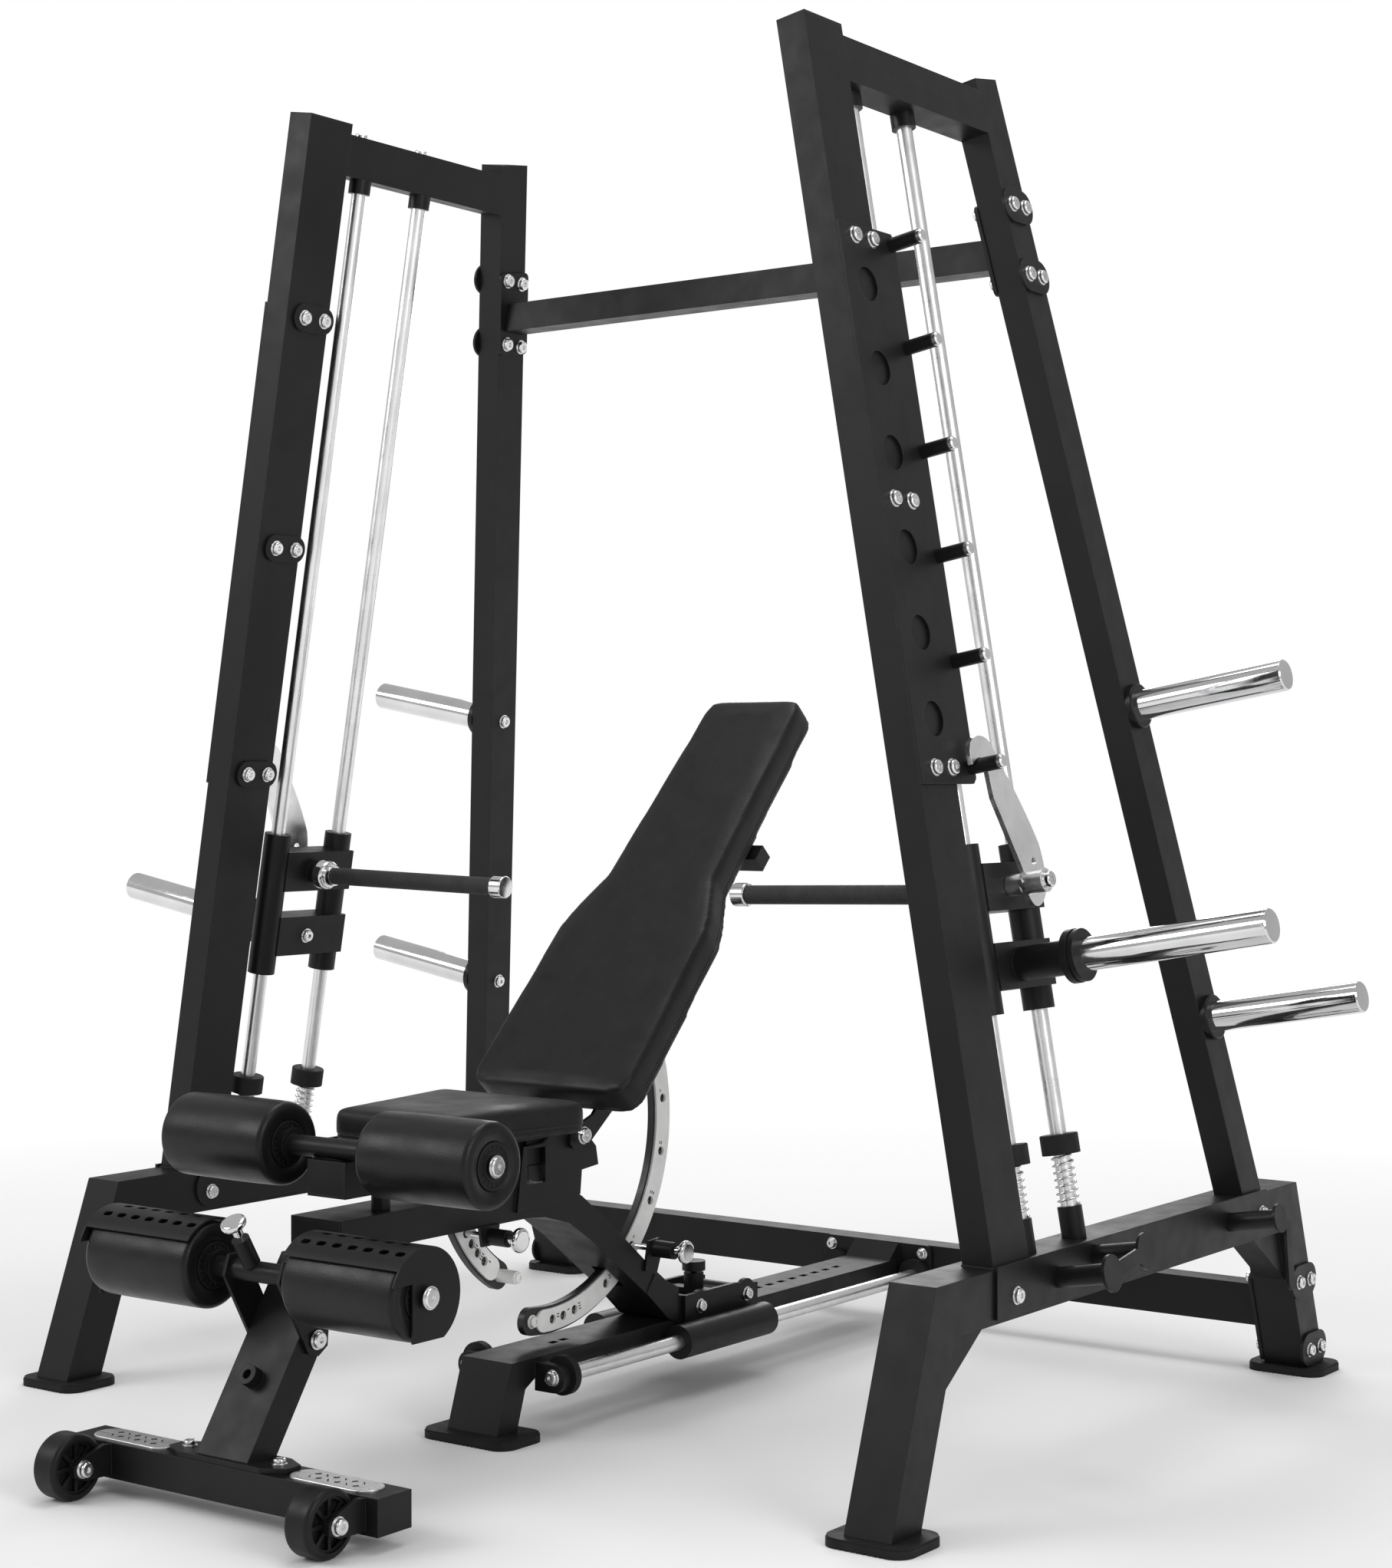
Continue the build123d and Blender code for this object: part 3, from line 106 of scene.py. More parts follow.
# Studio
AMBIENT = 0.5                              # strength of the ambient light
FLOOR_FADE = (1.5, 3.6)                    # floor turns into the backdrop between these
CAMERA_FROM_HINGE = Vector((2.7405, -3.3442, 0.5685))
CAMERA_TILT = 89.8
CAMERA_TURN = 36.189
CAMERA_LENS_MM = 62.28


# ---------------------------------------------------------------- materials
class Nodes:
    """Small helper around one material's node tree."""

    def __init__(self, name):
        self.mat = bpy.data.materials.new(name)
        self.mat.use_nodes = True
        self.tree = self.mat.node_tree
        self.bsdf = self.tree.nodes["Principled BSDF"]
        self.coord = self.tree.nodes.new("ShaderNodeTexCoord").outputs["Object"]

    def node(self, kind, **inputs):
        made = self.tree.nodes.new(kind)
        for key, value in inputs.items():
            made.inputs[key.replace("_", " ")].default_value = value
        return made

    def link(self, a, b):
        self.tree.links.new(a, b)

    def stretched(self, scale):
        """Object coordinates with one scale per axis."""
        mapping = self.node("ShaderNodeMapping", Scale=scale)
        self.link(self.coord, mapping.inputs["Vector"])
        return mapping.outputs["Vector"]

    def noise(self, scale, detail=3.0, vector=None):
        made = self.node("ShaderNodeTexNoise", Scale=scale, Detail=detail)
        self.link(vector or self.coord, made.inputs["Vector"])
        return made.outputs["Fac"]

    def cells(self, scale):
        made = self.node("ShaderNodeTexVoronoi", Scale=scale)
        self.link(self.coord, made.inputs["Vector"])
        return made.outputs["Distance"]

    def remap(self, value, low, high, start=0.3, stop=0.7):
        made = self.node("ShaderNodeMapRange",
                         From_Min=start, From_Max=stop, To_Min=low, To_Max=high)
        self.link(value, made.inputs["Value"])
        return made.outputs["Result"]

    def mix(self, factor, a, b):
        """Mix of two colours, each a tuple or a socket."""
        made = self.node("ShaderNodeMix")
        made.data_type = "RGBA"
        self.link(factor, made.inputs["Factor"])
        for socket, value in ((made.inputs[6], a), (made.inputs[7], b)):
            if isinstance(value, tuple):
                socket.default_value = (*value, 1.0)
            else:
                self.link(value, socket)
        return made.outputs[2]

    def maths(self, operation, a, b):
        """Sum, product or test of a socket and a socket or number."""
        made = self.node("ShaderNodeMath")
        made.operation = operation
        self.link(a, made.inputs[0])
        if isinstance(b, float):
            made.inputs[1].default_value = b
        else:
            self.link(b, made.inputs[1])
        return made.outputs[0]

    def rounded(self, radius):
        """Normal that rounds the edges of the mesh."""
        bevel = self.node("ShaderNodeBevel", Radius=radius)
        bevel.samples = 4
        return bevel.outputs["Normal"]

    def on_edges(self, rounded):
        """Mask that is 1 where the rounded normal leaves the plain one."""
        plain = self.tree.nodes.new("ShaderNodeNewGeometry").outputs["Normal"]
        dot = self.tree.nodes.new("ShaderNodeVectorMath")
        dot.operation = "DOT_PRODUCT"
        self.link(rounded, dot.inputs[0])
        self.link(plain, dot.inputs[1])
        return self.remap(dot.outputs["Value"], 1.0, 0.0, 0.86, 0.998)

    def bump(self, height, strength, distance, under=None):
        made = self.node("ShaderNodeBump", Strength=strength, Distance=distance)
        self.link(height, made.inputs["Height"])
        if under is not None:
            self.link(under, made.inputs["Normal"])
        return made.outputs["Normal"]

    def set(self, **values):
        for key, value in values.items():
            socket = self.bsdf.inputs[key.replace("_", " ")]
            if hasattr(value, "is_linked"):
                self.link(value, socket)
            elif isinstance(value, tuple):
                socket.default_value = (*value, 1.0)
            else:
                socket.default_value = value
        return self.mat


def powder_coat(name, dark, light, rough=0.42, edge_radius=0.0016):
    """Fine-grained black powder coat, a little lighter along worn edges."""
    n = Nodes(name)
    normal = n.rounded(edge_radius)
    edge = n.on_edges(normal)
    patches = n.remap(n.noise(9.0, 4.0), 0.0, 1.0)
    speck = n.remap(n.noise(1400.0, 2.0), 0.0, 0.35, 0.55, 0.75)
    base = n.mix(patches, dark, light)
    base = n.mix(speck, base, tuple(c * 1.7 for c in light))
    worn = n.maths("MULTIPLY", edge, n.remap(n.noise(60.0, 5.0), 0.15, 0.8, 0.4, 0.7))
    base = n.mix(worn, base, (0.045, 0.045, 0.047))
    roughness = n.remap(n.noise(25.0, 4.0), rough - 0.05, rough + 0.07)
    grain = n.bump(n.noise(1100.0, 2.0), 0.22, 0.00012, normal)
    dips = n.bump(n.noise(230.0, 2.0), 0.12, 0.0002, grain)
    return n.set(Base_Color=base, Roughness=roughness, Normal=dips, Metallic=0.0,
                 Specular_IOR_Level=0.24)


def plated(name, tint, rough, haze, along=(1.0, 1.0, 1.0)):
    """Bright plated steel with faint handling haze and fine drawn scratches."""
    n = Nodes(name)
    normal = n.rounded(0.0007)
    cloud = n.remap(n.noise(14.0, 5.0), 0.0, 1.0)
    scratch = n.noise(200.0, 2.0, n.stretched(along))
    base = n.mix(cloud, tint, tuple(c * 0.86 for c in tint))
    smudge = n.remap(n.noise(32.0, 5.0), rough * 0.7, rough + haze * 0.5)
    roughness = n.maths("ADD", smudge, n.remap(scratch, 0.0, haze, 0.5, 0.75))
    lines = n.bump(scratch, 0.03, 0.00001, normal)
    return n.set(Base_Color=base, Roughness=roughness, Normal=lines, Metallic=1.0)


def vinyl(name, dark, light, rough):
    """Upholstery vinyl: pebbled grain in small cells with soft creases and rubbed highlights."""
    n = Nodes(name)
    cells = n.cells(520.0)
    wander = n.noise(40.0, 4.0)
    base = n.mix(n.remap(wander, 0.0, 1.0), dark, light)
    base = n.mix(n.remap(cells, 0.5, 0.0, 0.0, 0.25), base, (0.0035, 0.0035, 0.0036))
    roughness = n.remap(n.noise(18.0, 5.0), rough - 0.06, rough + 0.1)
    grain = n.bump(cells, 0.35, 0.00035)
    fine = n.bump(n.noise(900.0, 3.0), 0.15, 0.0001, grain)
    crease = n.bump(n.noise(11.0, 3.0), 0.12, 0.001, fine)
    return n.set(Base_Color=base, Roughness=roughness, Normal=crease, Specular_IOR_Level=0.28,
                 Sheen_Weight=0.03, Sheen_Roughness=0.4)


def moulded(name, dark, light, rough, grain_scale=1300.0):
    """Moulded black rubber or plastic with a spark-eroded texture and dusty patches."""
    n = Nodes(name)
    normal = n.rounded(0.001)
    edge = n.on_edges(normal)
    dust = n.remap(n.noise(22.0, 6.0), 0.0, 1.0, 0.45, 0.75)
    base = n.mix(dust, dark, light)
    base = n.mix(n.maths("MULTIPLY", edge, 0.35), base, (0.035, 0.035, 0.035))
    roughness = n.remap(n.noise(45.0, 4.0), rough - 0.06, rough + 0.08)
    bumped = n.bump(n.noise(grain_scale, 2.0), 0.3, 0.00012, normal)
    return n.set(Base_Color=base, Roughness=roughness, Normal=bumped, Specular_IOR_Level=0.26)


def grip_rubber(name):
    """Grip rubber with a fine moulded diamond pattern."""
    n = Nodes(name)
    first = n.node("ShaderNodeTexWave", Scale=95.0, Distortion=0.0)
    second = n.node("ShaderNodeTexWave", Scale=95.0, Distortion=0.0)
    for wave, slope in ((first, 1.0), (second, -1.0)):
        wave.wave_type = "BANDS"
        wave.bands_direction = "DIAGONAL"
        n.link(n.stretched((1.0, slope, slope)), wave.inputs["Vector"])
    knurl = n.maths("MULTIPLY", first.outputs["Fac"], second.outputs["Fac"])
    patches = n.remap(n.noise(30.0, 4.0), 0.0, 1.0)
    base = n.mix(patches, (0.011, 0.011, 0.011), (0.021, 0.021, 0.02))
    roughness = n.remap(n.noise(60.0), 0.55, 0.72)
    return n.set(Base_Color=base, Roughness=roughness, Normal=n.bump(knurl, 0.5, 0.0004))


def scale_plate(name, split):
    """White enamel on the numbered face, black plate behind it."""
    n = Nodes(name)
    parts = n.tree.nodes.new("ShaderNodeSeparateXYZ")
    n.link(n.coord, parts.inputs[0])
    front = n.maths("GREATER_THAN", parts.outputs["X"], split)
    grime = n.remap(n.noise(35.0, 5.0), 0.0, 1.0)
    white = n.mix(grime, (0.9, 0.9, 0.89), (0.8, 0.8, 0.79))
    black = n.mix(grime, (0.006, 0.006, 0.0062), (0.0095, 0.0095, 0.0095))
    normal = n.rounded(0.0006)
    speck = n.bump(n.noise(1200.0), 0.2, 0.0001, normal)
    roughness = n.remap(grime, 0.32, 0.45, 0.0, 1.0)
    return n.set(Base_Color=n.mix(front, black, white), Roughness=roughness, Normal=speck)


def brushed(name):
    """Brushed stainless sheet, brushed along X."""
    n = Nodes(name)
    lines = n.noise(600.0, 4.0, n.stretched((0.02, 1.0, 1.0)))
    base = n.mix(n.remap(lines, 0.0, 1.0), (0.92, 0.92, 0.92), (0.8, 0.8, 0.81))
    roughness = n.remap(lines, 0.22, 0.4)
    drawn = n.bump(lines, 0.12, 0.00006)
    return n.set(Base_Color=base, Roughness=roughness, Normal=drawn, Metallic=1.0)


def pale_floor(name, colour, fade_from, fade_to):
    """Matt studio floor that fades into the white backdrop between two distances."""
    n = Nodes(name)
    clouds = n.remap(n.noise(1.5, 3.0), 0.0, 1.0)
    shade = n.mix(clouds, colour, tuple(c * 0.985 for c in colour))
    n.set(Base_Color=shade, Roughness=0.9)
    distance = n.tree.nodes.new("ShaderNodeVectorMath")
    distance.operation = "LENGTH"
    n.link(n.coord, distance.inputs[0])
    far = n.remap(distance.outputs["Value"], 0.0, 1.0, fade_from, fade_to)
    white = n.node("ShaderNodeEmission", Color=(1.0, 1.0, 1.0, 1.0), Strength=1.0)
    blend = n.tree.nodes.new("ShaderNodeMixShader")
    n.link(far, blend.inputs["Fac"])
    n.link(n.bsdf.outputs[0], blend.inputs[1])
    n.link(white.outputs[0], blend.inputs[2])
    n.link(blend.outputs[0], n.tree.nodes["Material Output"].inputs["Surface"])
    return n.mat


COAT = powder_coat("powder_coat_black", (0.0062, 0.0062, 0.0064), (0.0088, 0.0088, 0.009))
COAT_FINE = powder_coat("powder_coat_fine", (0.0058, 0.0058, 0.006), (0.0082, 0.0082, 0.0084),
                        0.4, 0.001)
ENAMEL = powder_coat("satin_enamel", (0.005, 0.005, 0.0052), (0.0075, 0.0075, 0.0077),
                     0.34, 0.0012)
CHROME = plated("bright_plating", (0.8, 0.8, 0.81), 0.07, 0.05)
ZINC = plated("zinc_plated_bolts", (0.84, 0.84, 0.85), 0.24, 0.1)
ROD = plated("ground_rod", (0.9, 0.9, 0.91), 0.34, 0.05)
HOOK = plated("catch_hook_plating", (0.9, 0.9, 0.9), 0.34, 0.06, (1.0, 0.1, 1.0))
SPRING = plated("spring_wire", (0.8, 0.8, 0.81), 0.26, 0.1)
VINYL = vinyl("pad_vinyl", (0.0055, 0.0055, 0.0057), (0.0085, 0.0085, 0.0087), 0.44)
ROLLER = vinyl("roller_vinyl", (0.005, 0.005, 0.0052), (0.0075, 0.0075, 0.0077), 0.34)
RUBBER = moulded("black_rubber", (0.0065, 0.0065, 0.0065), (0.0115, 0.0115, 0.011), 0.62)
PLASTIC = moulded("black_plastic", (0.006, 0.006, 0.0062), (0.0095, 0.0095, 0.0097),
                  0.42, 1000.0)
GRIP = grip_rubber("grip_rubber")
SCALE = scale_plate("scale_plate", 0.0030)
STEEL = brushed("brushed_tread")
THREAD = moulded("seam_thread", (0.02, 0.02, 0.02), (0.035, 0.035, 0.035), 0.7, 3000.0)
MARK = moulded("printed_mark", (0.016, 0.016, 0.016), (0.02, 0.02, 0.02), 0.5, 2000.0)

CAD_LOOK = {
    COAT: ("base_rails", "front_uprights", "rear_uprights", "top_links", "crossbars",
           "bench_track", "bench_spine", "bench_stem", "foot_crossbar", "seat_frame",
           "backrest_frame", "bolted_plates", "rack_plates"),
    COAT_FINE: ("catch_pegs", "storage_pegs", "carriage_right", "carriage_left", "sled",
                "pin_barrels", "roller_arm", "roller_shields", "upper_roller_bar"),
    ENAMEL: ("horn_flanges", "rod_mounts"),
    CHROME: ("storage_horns", "loading_horn_right", "loading_horn_left", "handle_bar_right",
             "handle_bar_left", "seat_pin", "backrest_pin", "arm_pin"),
    ZINC: ("frame_bolts", "bench_bolts", "upper_roller_bolts", "lower_roller_bolts"),
    ROD: ("guide_rods",),
    HOOK: ("catch_hook_right", "catch_hook_left"),
    SPRING: ("springs_right", "springs_left"),
    RUBBER: ("foot_pads", "track_stops", "bumpers_right", "bumpers_left"),
    PLASTIC: ("upright_caps", "wheel_right", "wheel_left", "lock_pin"),
    SCALE: ("seat_arc", "backrest_arc"),
    STEEL: ("tread_plates",),
}


def cad(node):
    """The Blender object of a CAD node."""
    return frame["nodes"][node]


def dress_cad():
    for material, nodes in CAD_LOOK.items():
        for node in nodes:
            for slot in cad(node).material_slots:
                slot.material = material


# ---------------------------------------------------------------- mesh helpers
def piece(name, bm, body, material, smooth=True, angle=0.7):
    """Turn a bmesh into a piece that rides on a body."""
    bmesh.ops.recalc_face_normals(bm, faces=bm.faces)
    mesh = bpy.data.meshes.new(name)
    bm.to_mesh(mesh)
    bm.free()
    obj = bpy.data.objects.new(name, mesh)
    bpy.context.scene.collection.objects.link(obj)
    mesh.materials.append(material)
    if smooth:
        mesh.shade_smooth()
        mesh.set_sharp_from_angle(angle=angle)
    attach(obj, body)
    return obj


def frame_on(axis, origin):
    """Matrix whose X runs along an axis from an origin."""
    turn = axis.to_track_quat("X", "Z").to_matrix().to_4x4()
    return Matrix.Translation(origin) @ turn


def box_of(node):
    """Two corners of a node's box."""
    return tuple(Vector(c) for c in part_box(node))


def skin(bm, rings):
    """Faces between closed rings of vertices, the last ring joined to the first."""
    count = len(rings[0])
    for i, here in enumerate(rings):
        there = rings[(i + 1) % len(rings)]
        for j in range(count):
            k = (j + 1) % count
            bm.faces.new((here[j], here[k], there[k], there[j]))


def turned(bm, profile, place, segments):
    """Closed solid of revolution about the local X axis; profile is a loop of (x, r)."""
    rings = []
    for i in range(segments):
        a = math.tau * i / segments
        ring = [Vector((x, r * math.cos(a), r * math.sin(a))) for x, r in profile]
        rings.append([bm.verts.new(place @ v) for v in ring])
    skin(bm, rings)


def arc_points(cx, cr, radius, start, stop):
    """Points of a rounded corner in an (x, r) profile."""
    steps = 6
    points = []
    for i in range(steps + 1):
        a = math.radians(start + (stop - start) * i / steps)
        points.append((cx + radius * math.cos(a), cr + radius * math.sin(a)))
    return points


def cube_into(bm, place, size):
    """Small plain block."""
    return bmesh.ops.create_cube(bm, size=1.0, matrix=place @ Matrix.Diagonal((*size, 1.0)))


def box_into(bm, place, size):
    """Small bevelled block."""
    made = cube_into(bm, place, size)
    edges = {e for v in made["verts"] for e in v.link_edges}
    bmesh.ops.bevel(bm, geom=list(edges), offset=min(size) * 0.2, segments=1, affect="EDGES")


# ---------------------------------------------------------------- pads
def smoothed(obj, times):
    """Mesh with its small steps evened out, kept in the mesh."""
    smooth = obj.modifiers.new("smooth", "SMOOTH")
    smooth.factor = 0.5
    smooth.iterations = times
    bpy.ops.object.modifier_apply(modifier="smooth")


def soften(obj):
    """Remesh and inflate a pad a little with cloth pressure, then hold it to a largest swell."""
    bpy.context.view_layer.objects.active = obj
    remesh = obj.modifiers.new("remesh", "REMESH")
    remesh.mode = "VOXEL"
    remesh.voxel_size = PAD_VOXEL
    bpy.ops.object.modifier_apply(modifier="remesh")
    smoothed(obj, 2)
    start = [v.co.copy() for v in obj.data.vertices]
    cloth = obj.modifiers.new("cloth", "CLOTH")
    cloth.settings.use_pressure = True
    cloth.settings.uniform_pressure_force = PRESSURE
    cloth.settings.tension_stiffness = 40.0
    cloth.settings.compression_stiffness = 40.0
    cloth.settings.bending_stiffness = 4.0
    cloth.settings.effector_weights.gravity = 0.0
    cloth.point_cache.frame_start = 1
    cloth.point_cache.frame_end = CLOTH_FRAMES
    scene = bpy.context.scene
    for step in range(1, CLOTH_FRAMES + 1):
        scene.frame_set(step)
    graph = bpy.context.evaluated_depsgraph_get()
    settled = [v.co.copy() for v in obj.evaluated_get(graph).data.vertices]
    obj.modifiers.remove(cloth)
    scene.frame_set(1)
    for vertex, a, b in zip(obj.data.vertices, start, settled):
        shift = b - a
        if shift.length > SWELL_CAP:
            shift *= SWELL_CAP / shift.length
        vertex.co = a + shift
    smoothed(obj, 5)


def pad_copy(node, body):
    """Start of a pad: the CAD solid's mesh, shrunk a little about its middle."""
    bm = bmesh.new()
    bm.from_mesh(cad(node).data)
    bmesh.ops.remove_doubles(bm, verts=bm.verts, dist=1e-5)
    centre = sum((v.co for v in bm.verts), Vector()) / len(bm.verts)
    for v in bm.verts:
        away = v.co - centre
        v.co = centre + away * (1.0 - PAD_INSET / max(away.length, PAD_INSET))
    obj = piece(f"{node}_cushion", bm, body, VINYL)
    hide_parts(node)
    return obj


def loop_at(obj, origin, normal):
    """Closed outline where a plane cuts a mesh, as ordered points."""
    bm = bmesh.new()
    bm.from_mesh(obj.data)
    geom = bm.verts[:] + bm.edges[:] + bm.faces[:]
    cut = bmesh.ops.bisect_plane(bm, geom=geom, plane_co=origin, plane_no=normal)["geom_cut"]
    verts = [g for g in cut if isinstance(g, bmesh.types.BMVert)]
    edges = {g for g in cut if isinstance(g, bmesh.types.BMEdge)}
    loops = []
    left = set(verts)
    while left:
        step = next(v for v in verts if v in left)
        walk = []
        while step is not None:
            left.discard(step)
            walk.append(step)
            ahead = (e.other_vert(step) for e in step.link_edges if e in edges)
            step = next((v for v in ahead if v in left), None)
        loops.append([v.co.copy() for v in walk])
    bm.free()
    return max(loops, key=len)


def resample(points, spacing):
    """Even points around a closed loop."""
    closed = points + [points[0]]
    lengths = [0.0]
    for a, b in zip(closed, closed[1:]):
        lengths.append(lengths[-1] + (b - a).length)
    count = max(8, int(lengths[-1] / spacing))
    result = []
    j = 0
    for i in range(count):
        at = lengths[-1] * i / count
        while lengths[j + 1] < at:
            j += 1
        t = (at - lengths[j]) / max(lengths[j + 1] - lengths[j], 1e-9)
        result.append(closed[j].lerp(closed[j + 1], t))
    for _ in range(6):
        result = [(result[i - 1] + result[i] * 2 + result[(i + 1) % count]) / 4
                  for i in range(count)]
    return result


def cord_ring(name, points, radius, body, material):
    """Thin welt that follows a closed loop."""
    bm = bmesh.new()
    count = len(points)
    sides = 8
    middle = sum(points, Vector()) / count
    normal = Vector()
    for i in range(count):
        normal += (points[i] - middle).cross(points[(i + 1) % count] - middle)
    normal.normalize()
    rings = []
    for i, p in enumerate(points):
        tangent = (points[(i + 1) % count] - points[i - 1]).normalized()
        outward = tangent.cross(normal).normalized()
        ring = []
        for s in range(sides):
            a = math.tau * s / sides
            off = outward * (radius * math.cos(a)) + normal * (radius * math.sin(a))
            ring.append(bm.verts.new(p + off))
        rings.append(ring)
    skin(bm, rings)
    piece(name, bm, body, material)


def stitches(name, points, body):
    """Row of short thread stitches along a closed loop."""
    bm = bmesh.new()
    middle = sum(points, Vector()) / len(points)
    spaced = resample(points, STITCH_EVERY)
    for i, p in enumerate(spaced):
        along = (spaced[(i + 1) % len(spaced)] - spaced[i - 1]).normalized()
        out = p - middle
        out = (out - along * out.dot(along)).normalized()
        cube_into(bm, frame_on(along, p + out * STITCH_LIFT), STITCH_SIZE)
    piece(name, bm, body, THREAD, smooth=False)


def subdivided(obj):
    """One subdivision, kept in the mesh."""
    modifier = obj.modifiers.new("subdivide", "SUBSURF")
    modifier.levels = 1
    modifier.render_levels = 1
    bpy.context.view_layer.objects.active = obj
    bpy.ops.object.modifier_apply(modifier="subdivide")
    obj.data.shade_smooth()


def press_channel(obj, origin, normal):
    """Pull the cover in along the plane of a seam."""
    middle = sum((v.co for v in obj.data.vertices), Vector()) / len(obj.data.vertices)
    for v in obj.data.vertices:
        off = (v.co - origin).dot(normal)
        if abs(off) > SEAM_WIDTH * 3:
            continue
        inward = middle - v.co
        inward -= normal * inward.dot(normal)
        v.co += inward.normalized() * (SEAM_DEPTH * math.exp(-((off / SEAM_WIDTH) ** 2)))


def pad(node, body, face_point, out, seam_below):
    """One upholstered pad with a pulled-in seam, its welt and a row of stitches."""
    obj = pad_copy(node, body)
    soften(obj)
    origin = face_point - out * seam_below
    subdivided(obj)
    press_channel(obj, origin, out)
    outline = resample(loop_at(obj, origin, out), 0.006)
    cord_ring(f"{node}_welt", outline, WELT_R, body, VINYL)
    upper = resample(loop_at(obj, origin + out * STITCH_ROW, out), 0.004)
    stitches(f"{node}_stitches", upper, body)


def pads():
    pad("backrest_pad", "backrest", PAD_FOOT, PAD_OUT, BACKREST_THICK * 0.8)
    low, high = box_of("seat_pad")
    face = Vector((0.0, 0.0, high.z))
    pad("seat_pad", "seat", face, Vector((0, 0, 1)), (high.z - low.z) * 0.78)


# ---------------------------------------------------------------- rollers and grips
def roller_profile(half):
    """Half section of a foam roller: dished ends, rounded shoulders, a slightly crowned cover."""
    shoulder = ROLLER_SHOULDER
    right = arc_points(half - shoulder, ROLLER_R - shoulder, shoulder, 0, 90)
    left = arc_points(-half + shoulder, ROLLER_R - shoulder, shoulder, 90, 180)
    crown = [(half * t, ROLLER_R + ROLLER_CROWN * (1 - t * t))
             for t in (0.7, 0.35, 0.0, -0.35, -0.7)]
    floor = half - DISH_DEEP
    dish = [(floor, ROLLER_BORE), (floor, DISH_R), (half - 0.0005, DISH_R + 0.003)]
    return dish + right + crown + left + [(-x, r) for x, r in reversed(dish)]


def rollers():
    for level in ("upper", "lower"):
        for side, _ in SIDES:
            node = f"{level}_roller_{side}"
            body = f"{node}_body"
            low, high = box_of(node)
            centre = (low + high) / 2
            half = (high.x - low.x) / 2 - 0.001
            bm = bmesh.new()
            turned(bm, roller_profile(half), Matrix.Translation(centre), 96)
            for v in bm.verts:
                ripple = noise.noise(Vector((v.co.x * 16, v.co.y * 22, v.co.z * 22)))
                radial = Vector((0, v.co.y - centre.y, v.co.z - centre.z))
                if radial.length > ROLLER_R * 0.8:
                    v.co += radial.normalized() * (ripple * ROLLER_RIPPLE)
            foam = piece(f"{node}_foam", bm, body, ROLLER, angle=1.2)
            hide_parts(node)
            for end, sign in (("outer", 1), ("inner", -1)):
                dish = centre + Vector((sign * (half - DISH_DEEP), 0, 0))
                roller_cap(f"{node}_cap_{end}", dish, sign, body)


def roller_cap(name, dish, sign, body):
    """Moulded hub that closes one end of a roller, with a raised ring and teeth."""
    bm = bmesh.new()
    place = Matrix.Translation(dish)
    step = [(0.0, 0.0108), (0.0042, 0.0108), (0.0042, 0.021), (0.0022, 0.0215), (0.0022, 0.0295),
            (0.0036, 0.03), (0.0036, 0.0335), (0.0004, 0.0345), (0.0, 0.0345)]
    turned(bm, [(sign * x, r) for x, r in step], place, 64)
    out, radius = CAP_TOOTH_AT
    for i in range(CAP_TEETH):
        spin = Matrix.Rotation(math.tau * i / CAP_TEETH, 4, "X")
        box_into(bm, place @ spin @ Matrix.Translation((sign * out, 0, radius)), CAP_TOOTH)
    piece(name, bm, body, PLASTIC, angle=0.5)


def bar_ends(node):
    """Middles of the two ends of a straight bar that runs mostly along X."""
    verts = [v.co for v in cad(node).data.vertices]
    ends = []
    for x in (min(v.x for v in verts), max(v.x for v in verts)):
        near = [v for v in verts if abs(v.x - x) < 0.01]
        ends.append(sum(near, Vector()) / len(near))
    return ends


def grips():
    """Ribbed rubber sleeves over the handle bars."""
    for side, _ in SIDES:
        node = f"handle_grip_{side}"
        start, stop = bar_ends(node)
        length = (stop - start).length
        margin = GRIP_RIB_EVERY
        profile = [(0.0, GRIP_BORE), (0.0, GRIP_R)]
        ribs = int(length / GRIP_RIB_EVERY)
        for i in range(ribs):
            x = margin + (length - margin * 2) * i / ribs
            profile += [(x, GRIP_RIB_R), (x + 0.0024, GRIP_RIB_R),
                        (x + 0.0028, GRIP_GROOVE_R), (x + 0.0034, GRIP_GROOVE_R)]
        profile += [(length, GRIP_R), (length, GRIP_BORE)]
        bm = bmesh.new()
        turned(bm, profile, frame_on(stop - start, start), 48)
        grip = piece(f"{node}_rubber", bm, f"handle_{side}", GRIP, angle=0.9)
        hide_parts(node)


# ---------------------------------------------------------------- small detail
def tread_marks():
    """Raised anti-slip bars on the oval foot plates, in a plain repeated pattern."""
    low, high = box_of("tread_plates")
    mid_y = (low.y + high.y) / 2
    for side, sign in SIDES:
        bm = bmesh.new()
        centre_x = sign * (high.x - TREAD_FROM_END)
        for row in range(TREAD_ROWS):
            for column in range(TREAD_COLUMNS):
                x = centre_x + (column - (TREAD_COLUMNS - 1) / 2) * TREAD_PITCH
                y = mid_y + (row - (TREAD_ROWS - 1) / 2) * TREAD_PITCH
                slant = TREAD_SLANT if (row + column) % 2 else -TREAD_SLANT
                turn = Matrix.Rotation(math.radians(slant), 4, "Z")
                box_into(bm, Matrix.Translation((x, y, high.z + 0.0002)) @ turn, TREAD_BAR)
        piece(f"tread_bars_{side}", bm, "bench", MARK, smooth=False)


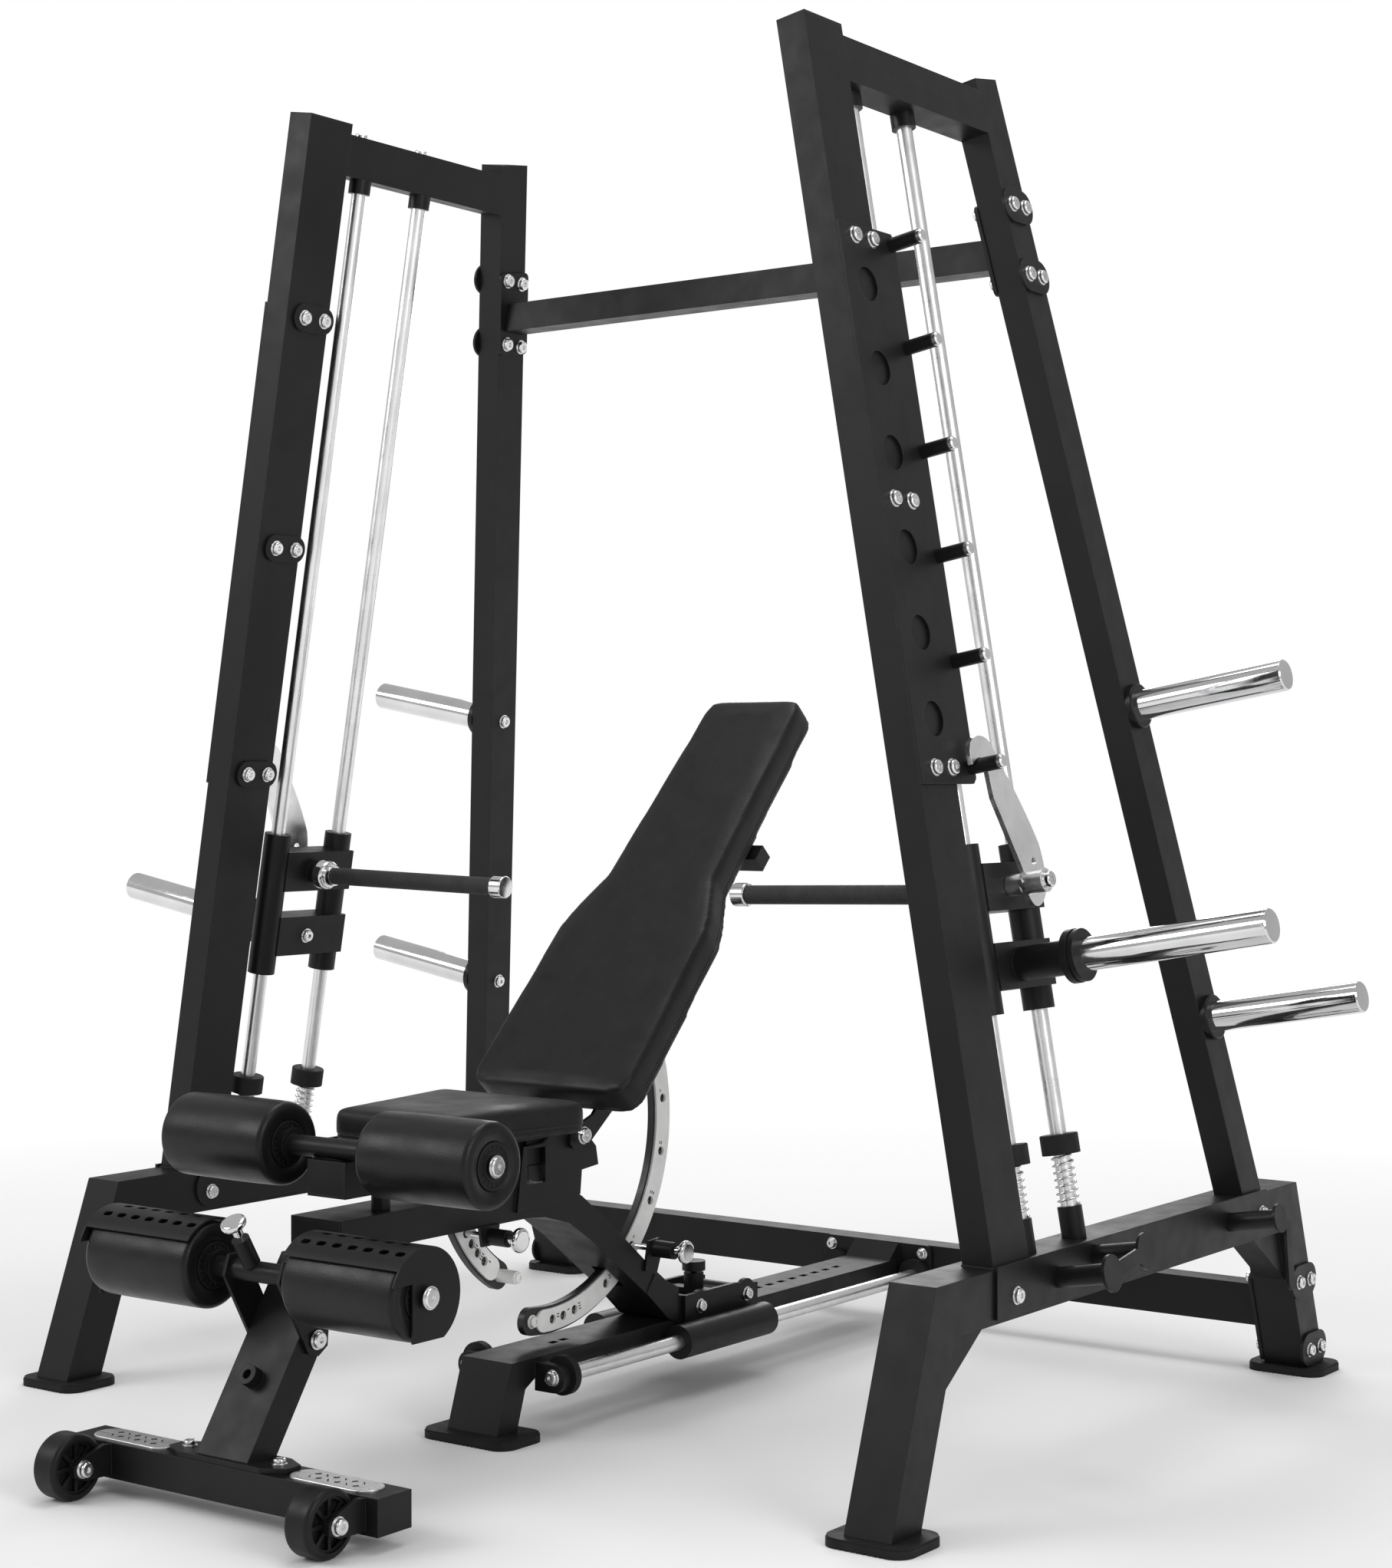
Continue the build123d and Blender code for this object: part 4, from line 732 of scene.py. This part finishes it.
def scale_marks():
    """Short printed ticks beside the holes of both adjusting arcs."""
    for name, (radius, angles) in ARC_HOLES.items():
        bm = bmesh.new()
        for count, angle in enumerate(angles):
            a = math.radians(angle + TICK_PAST_HOLE)
            for tick in range(1 + count % 3):
                r = radius - 0.006 + tick * TICK_STEP
                centre = HINGE + Vector((0, r * math.cos(a), r * math.sin(a)))
                centre.x = ARC_FACE_X + 0.0001
                place = Matrix.Translation(centre) @ Matrix.Rotation(a, 4, "X")
                box_into(bm, place, ARC_TICK)
        piece(f"{name}_scale_ticks", bm, name, MARK, smooth=False)


def weld_bead(bm, points, radius, seed):
    """Row of overlapping weld ripples along a polyline."""
    for a, b in zip(points, points[1:]):
        run = (b - a).length
        count = max(2, int(run / (radius * 0.9)))
        along = (b - a).normalized()
        for i in range(count + 1):
            centre = a.lerp(b, i / count)
            wobble = 1.0 + 0.12 * noise.noise(centre * 180.0 + Vector((seed, 0, 0)))
            place = frame_on(along, centre) @ Matrix.Diagonal((0.75 * wobble, wobble, wobble, 1.0))
            bmesh.ops.create_uvsphere(bm, u_segments=8, v_segments=5, radius=radius, matrix=place)


def welds():
    """Weld beads around the feet of the front uprights, where they meet the base rails."""
    low, high = box_of("front_uprights")
    out_x = high.x
    in_x = out_x - UPRIGHT_WIDE / math.cos(math.radians(LEAN))
    round_foot = ((out_x, low.y), (in_x, low.y), (in_x, high.y), (out_x, high.y), (out_x, low.y))
    bm = bmesh.new()
    for _, sign in SIDES:
        corners = [Vector((sign * x, y, low.z)) for x, y in round_foot]
        weld_bead(bm, corners, WELD_R, sign)
    piece("upright_weld_beads", bm, "frame", COAT_FINE, angle=3.0)


# ---------------------------------------------------------------- studio
def studio():
    floor = bmesh.new()
    bmesh.ops.create_grid(floor, x_segments=1, y_segments=1, size=40.0)
    mesh = bpy.data.meshes.new("studio_floor")
    floor.to_mesh(mesh)
    floor.free()
    obj = bpy.data.objects.new("studio_floor", mesh)
    bpy.context.scene.collection.objects.link(obj)
    mesh.materials.append(pale_floor("studio_floor", (0.86, 0.86, 0.86), *FLOOR_FADE))
    world = bpy.data.worlds.new("studio")
    bpy.context.scene.world = world
    world.use_nodes = True
    tree = world.node_tree
    ambient = tree.nodes["Background"]
    ambient.inputs["Strength"].default_value = AMBIENT
    backdrop = tree.nodes.new("ShaderNodeBackground")
    for shader in (ambient, backdrop):
        shader.inputs["Color"].default_value = (1.0, 1.0, 1.0, 1.0)
    mix = tree.nodes.new("ShaderNodeMixShader")
    seen = tree.nodes.new("ShaderNodeLightPath").outputs["Is Camera Ray"]
    tree.links.new(seen, mix.inputs["Fac"])
    tree.links.new(ambient.outputs[0], mix.inputs[1])
    tree.links.new(backdrop.outputs[0], mix.inputs[2])
    tree.links.new(mix.outputs[0], tree.nodes["World Output"].inputs["Surface"])
    bpy.context.scene.view_settings.view_transform = "Standard"
    lamp("key_softbox", (-3.2, -4.2, 3.6), (0.0, 0.0, 0.9), 3.0, 100.0)
    lamp("side_softbox", (4.8, -1.2, 2.6), (0.4, 0.1, 0.9), 2.4, 66.0)
    lamp("top_softbox", (0.2, 0.4, 4.6), (0.0, 0.0, 0.6), 3.4, 78.0)
    lamp("rear_softbox", (-2.6, 4.6, 2.8), (0.0, 0.0, 1.0), 2.4, 60.0)


def lamp(name, place, target, size, power):
    data = bpy.data.lights.new(name, "AREA")
    data.shape = "RECTANGLE"
    data.size = size
    data.size_y = size * 0.7
    data.energy = power
    obj = bpy.data.objects.new(name, data)
    obj.location = place
    obj.rotation_euler = (Vector(target) - Vector(place)).to_track_quat("-Z", "Y").to_euler()
    bpy.context.scene.collection.objects.link(obj)


def camera():
    data = bpy.data.cameras.new("camera")
    data.sensor_width = 36.0
    data.lens = CAMERA_LENS_MM
    data.clip_end = 200.0
    obj = bpy.data.objects.new("camera", data)
    obj.location = HINGE + CAMERA_FROM_HINGE
    obj.rotation_euler = (math.radians(CAMERA_TILT), 0.0, math.radians(CAMERA_TURN))
    bpy.context.scene.collection.objects.link(obj)
    bpy.context.scene.camera = obj


camera()
studio()
dress_cad()
pads()
rollers()
grips()
tread_marks()
scale_marks()
welds()
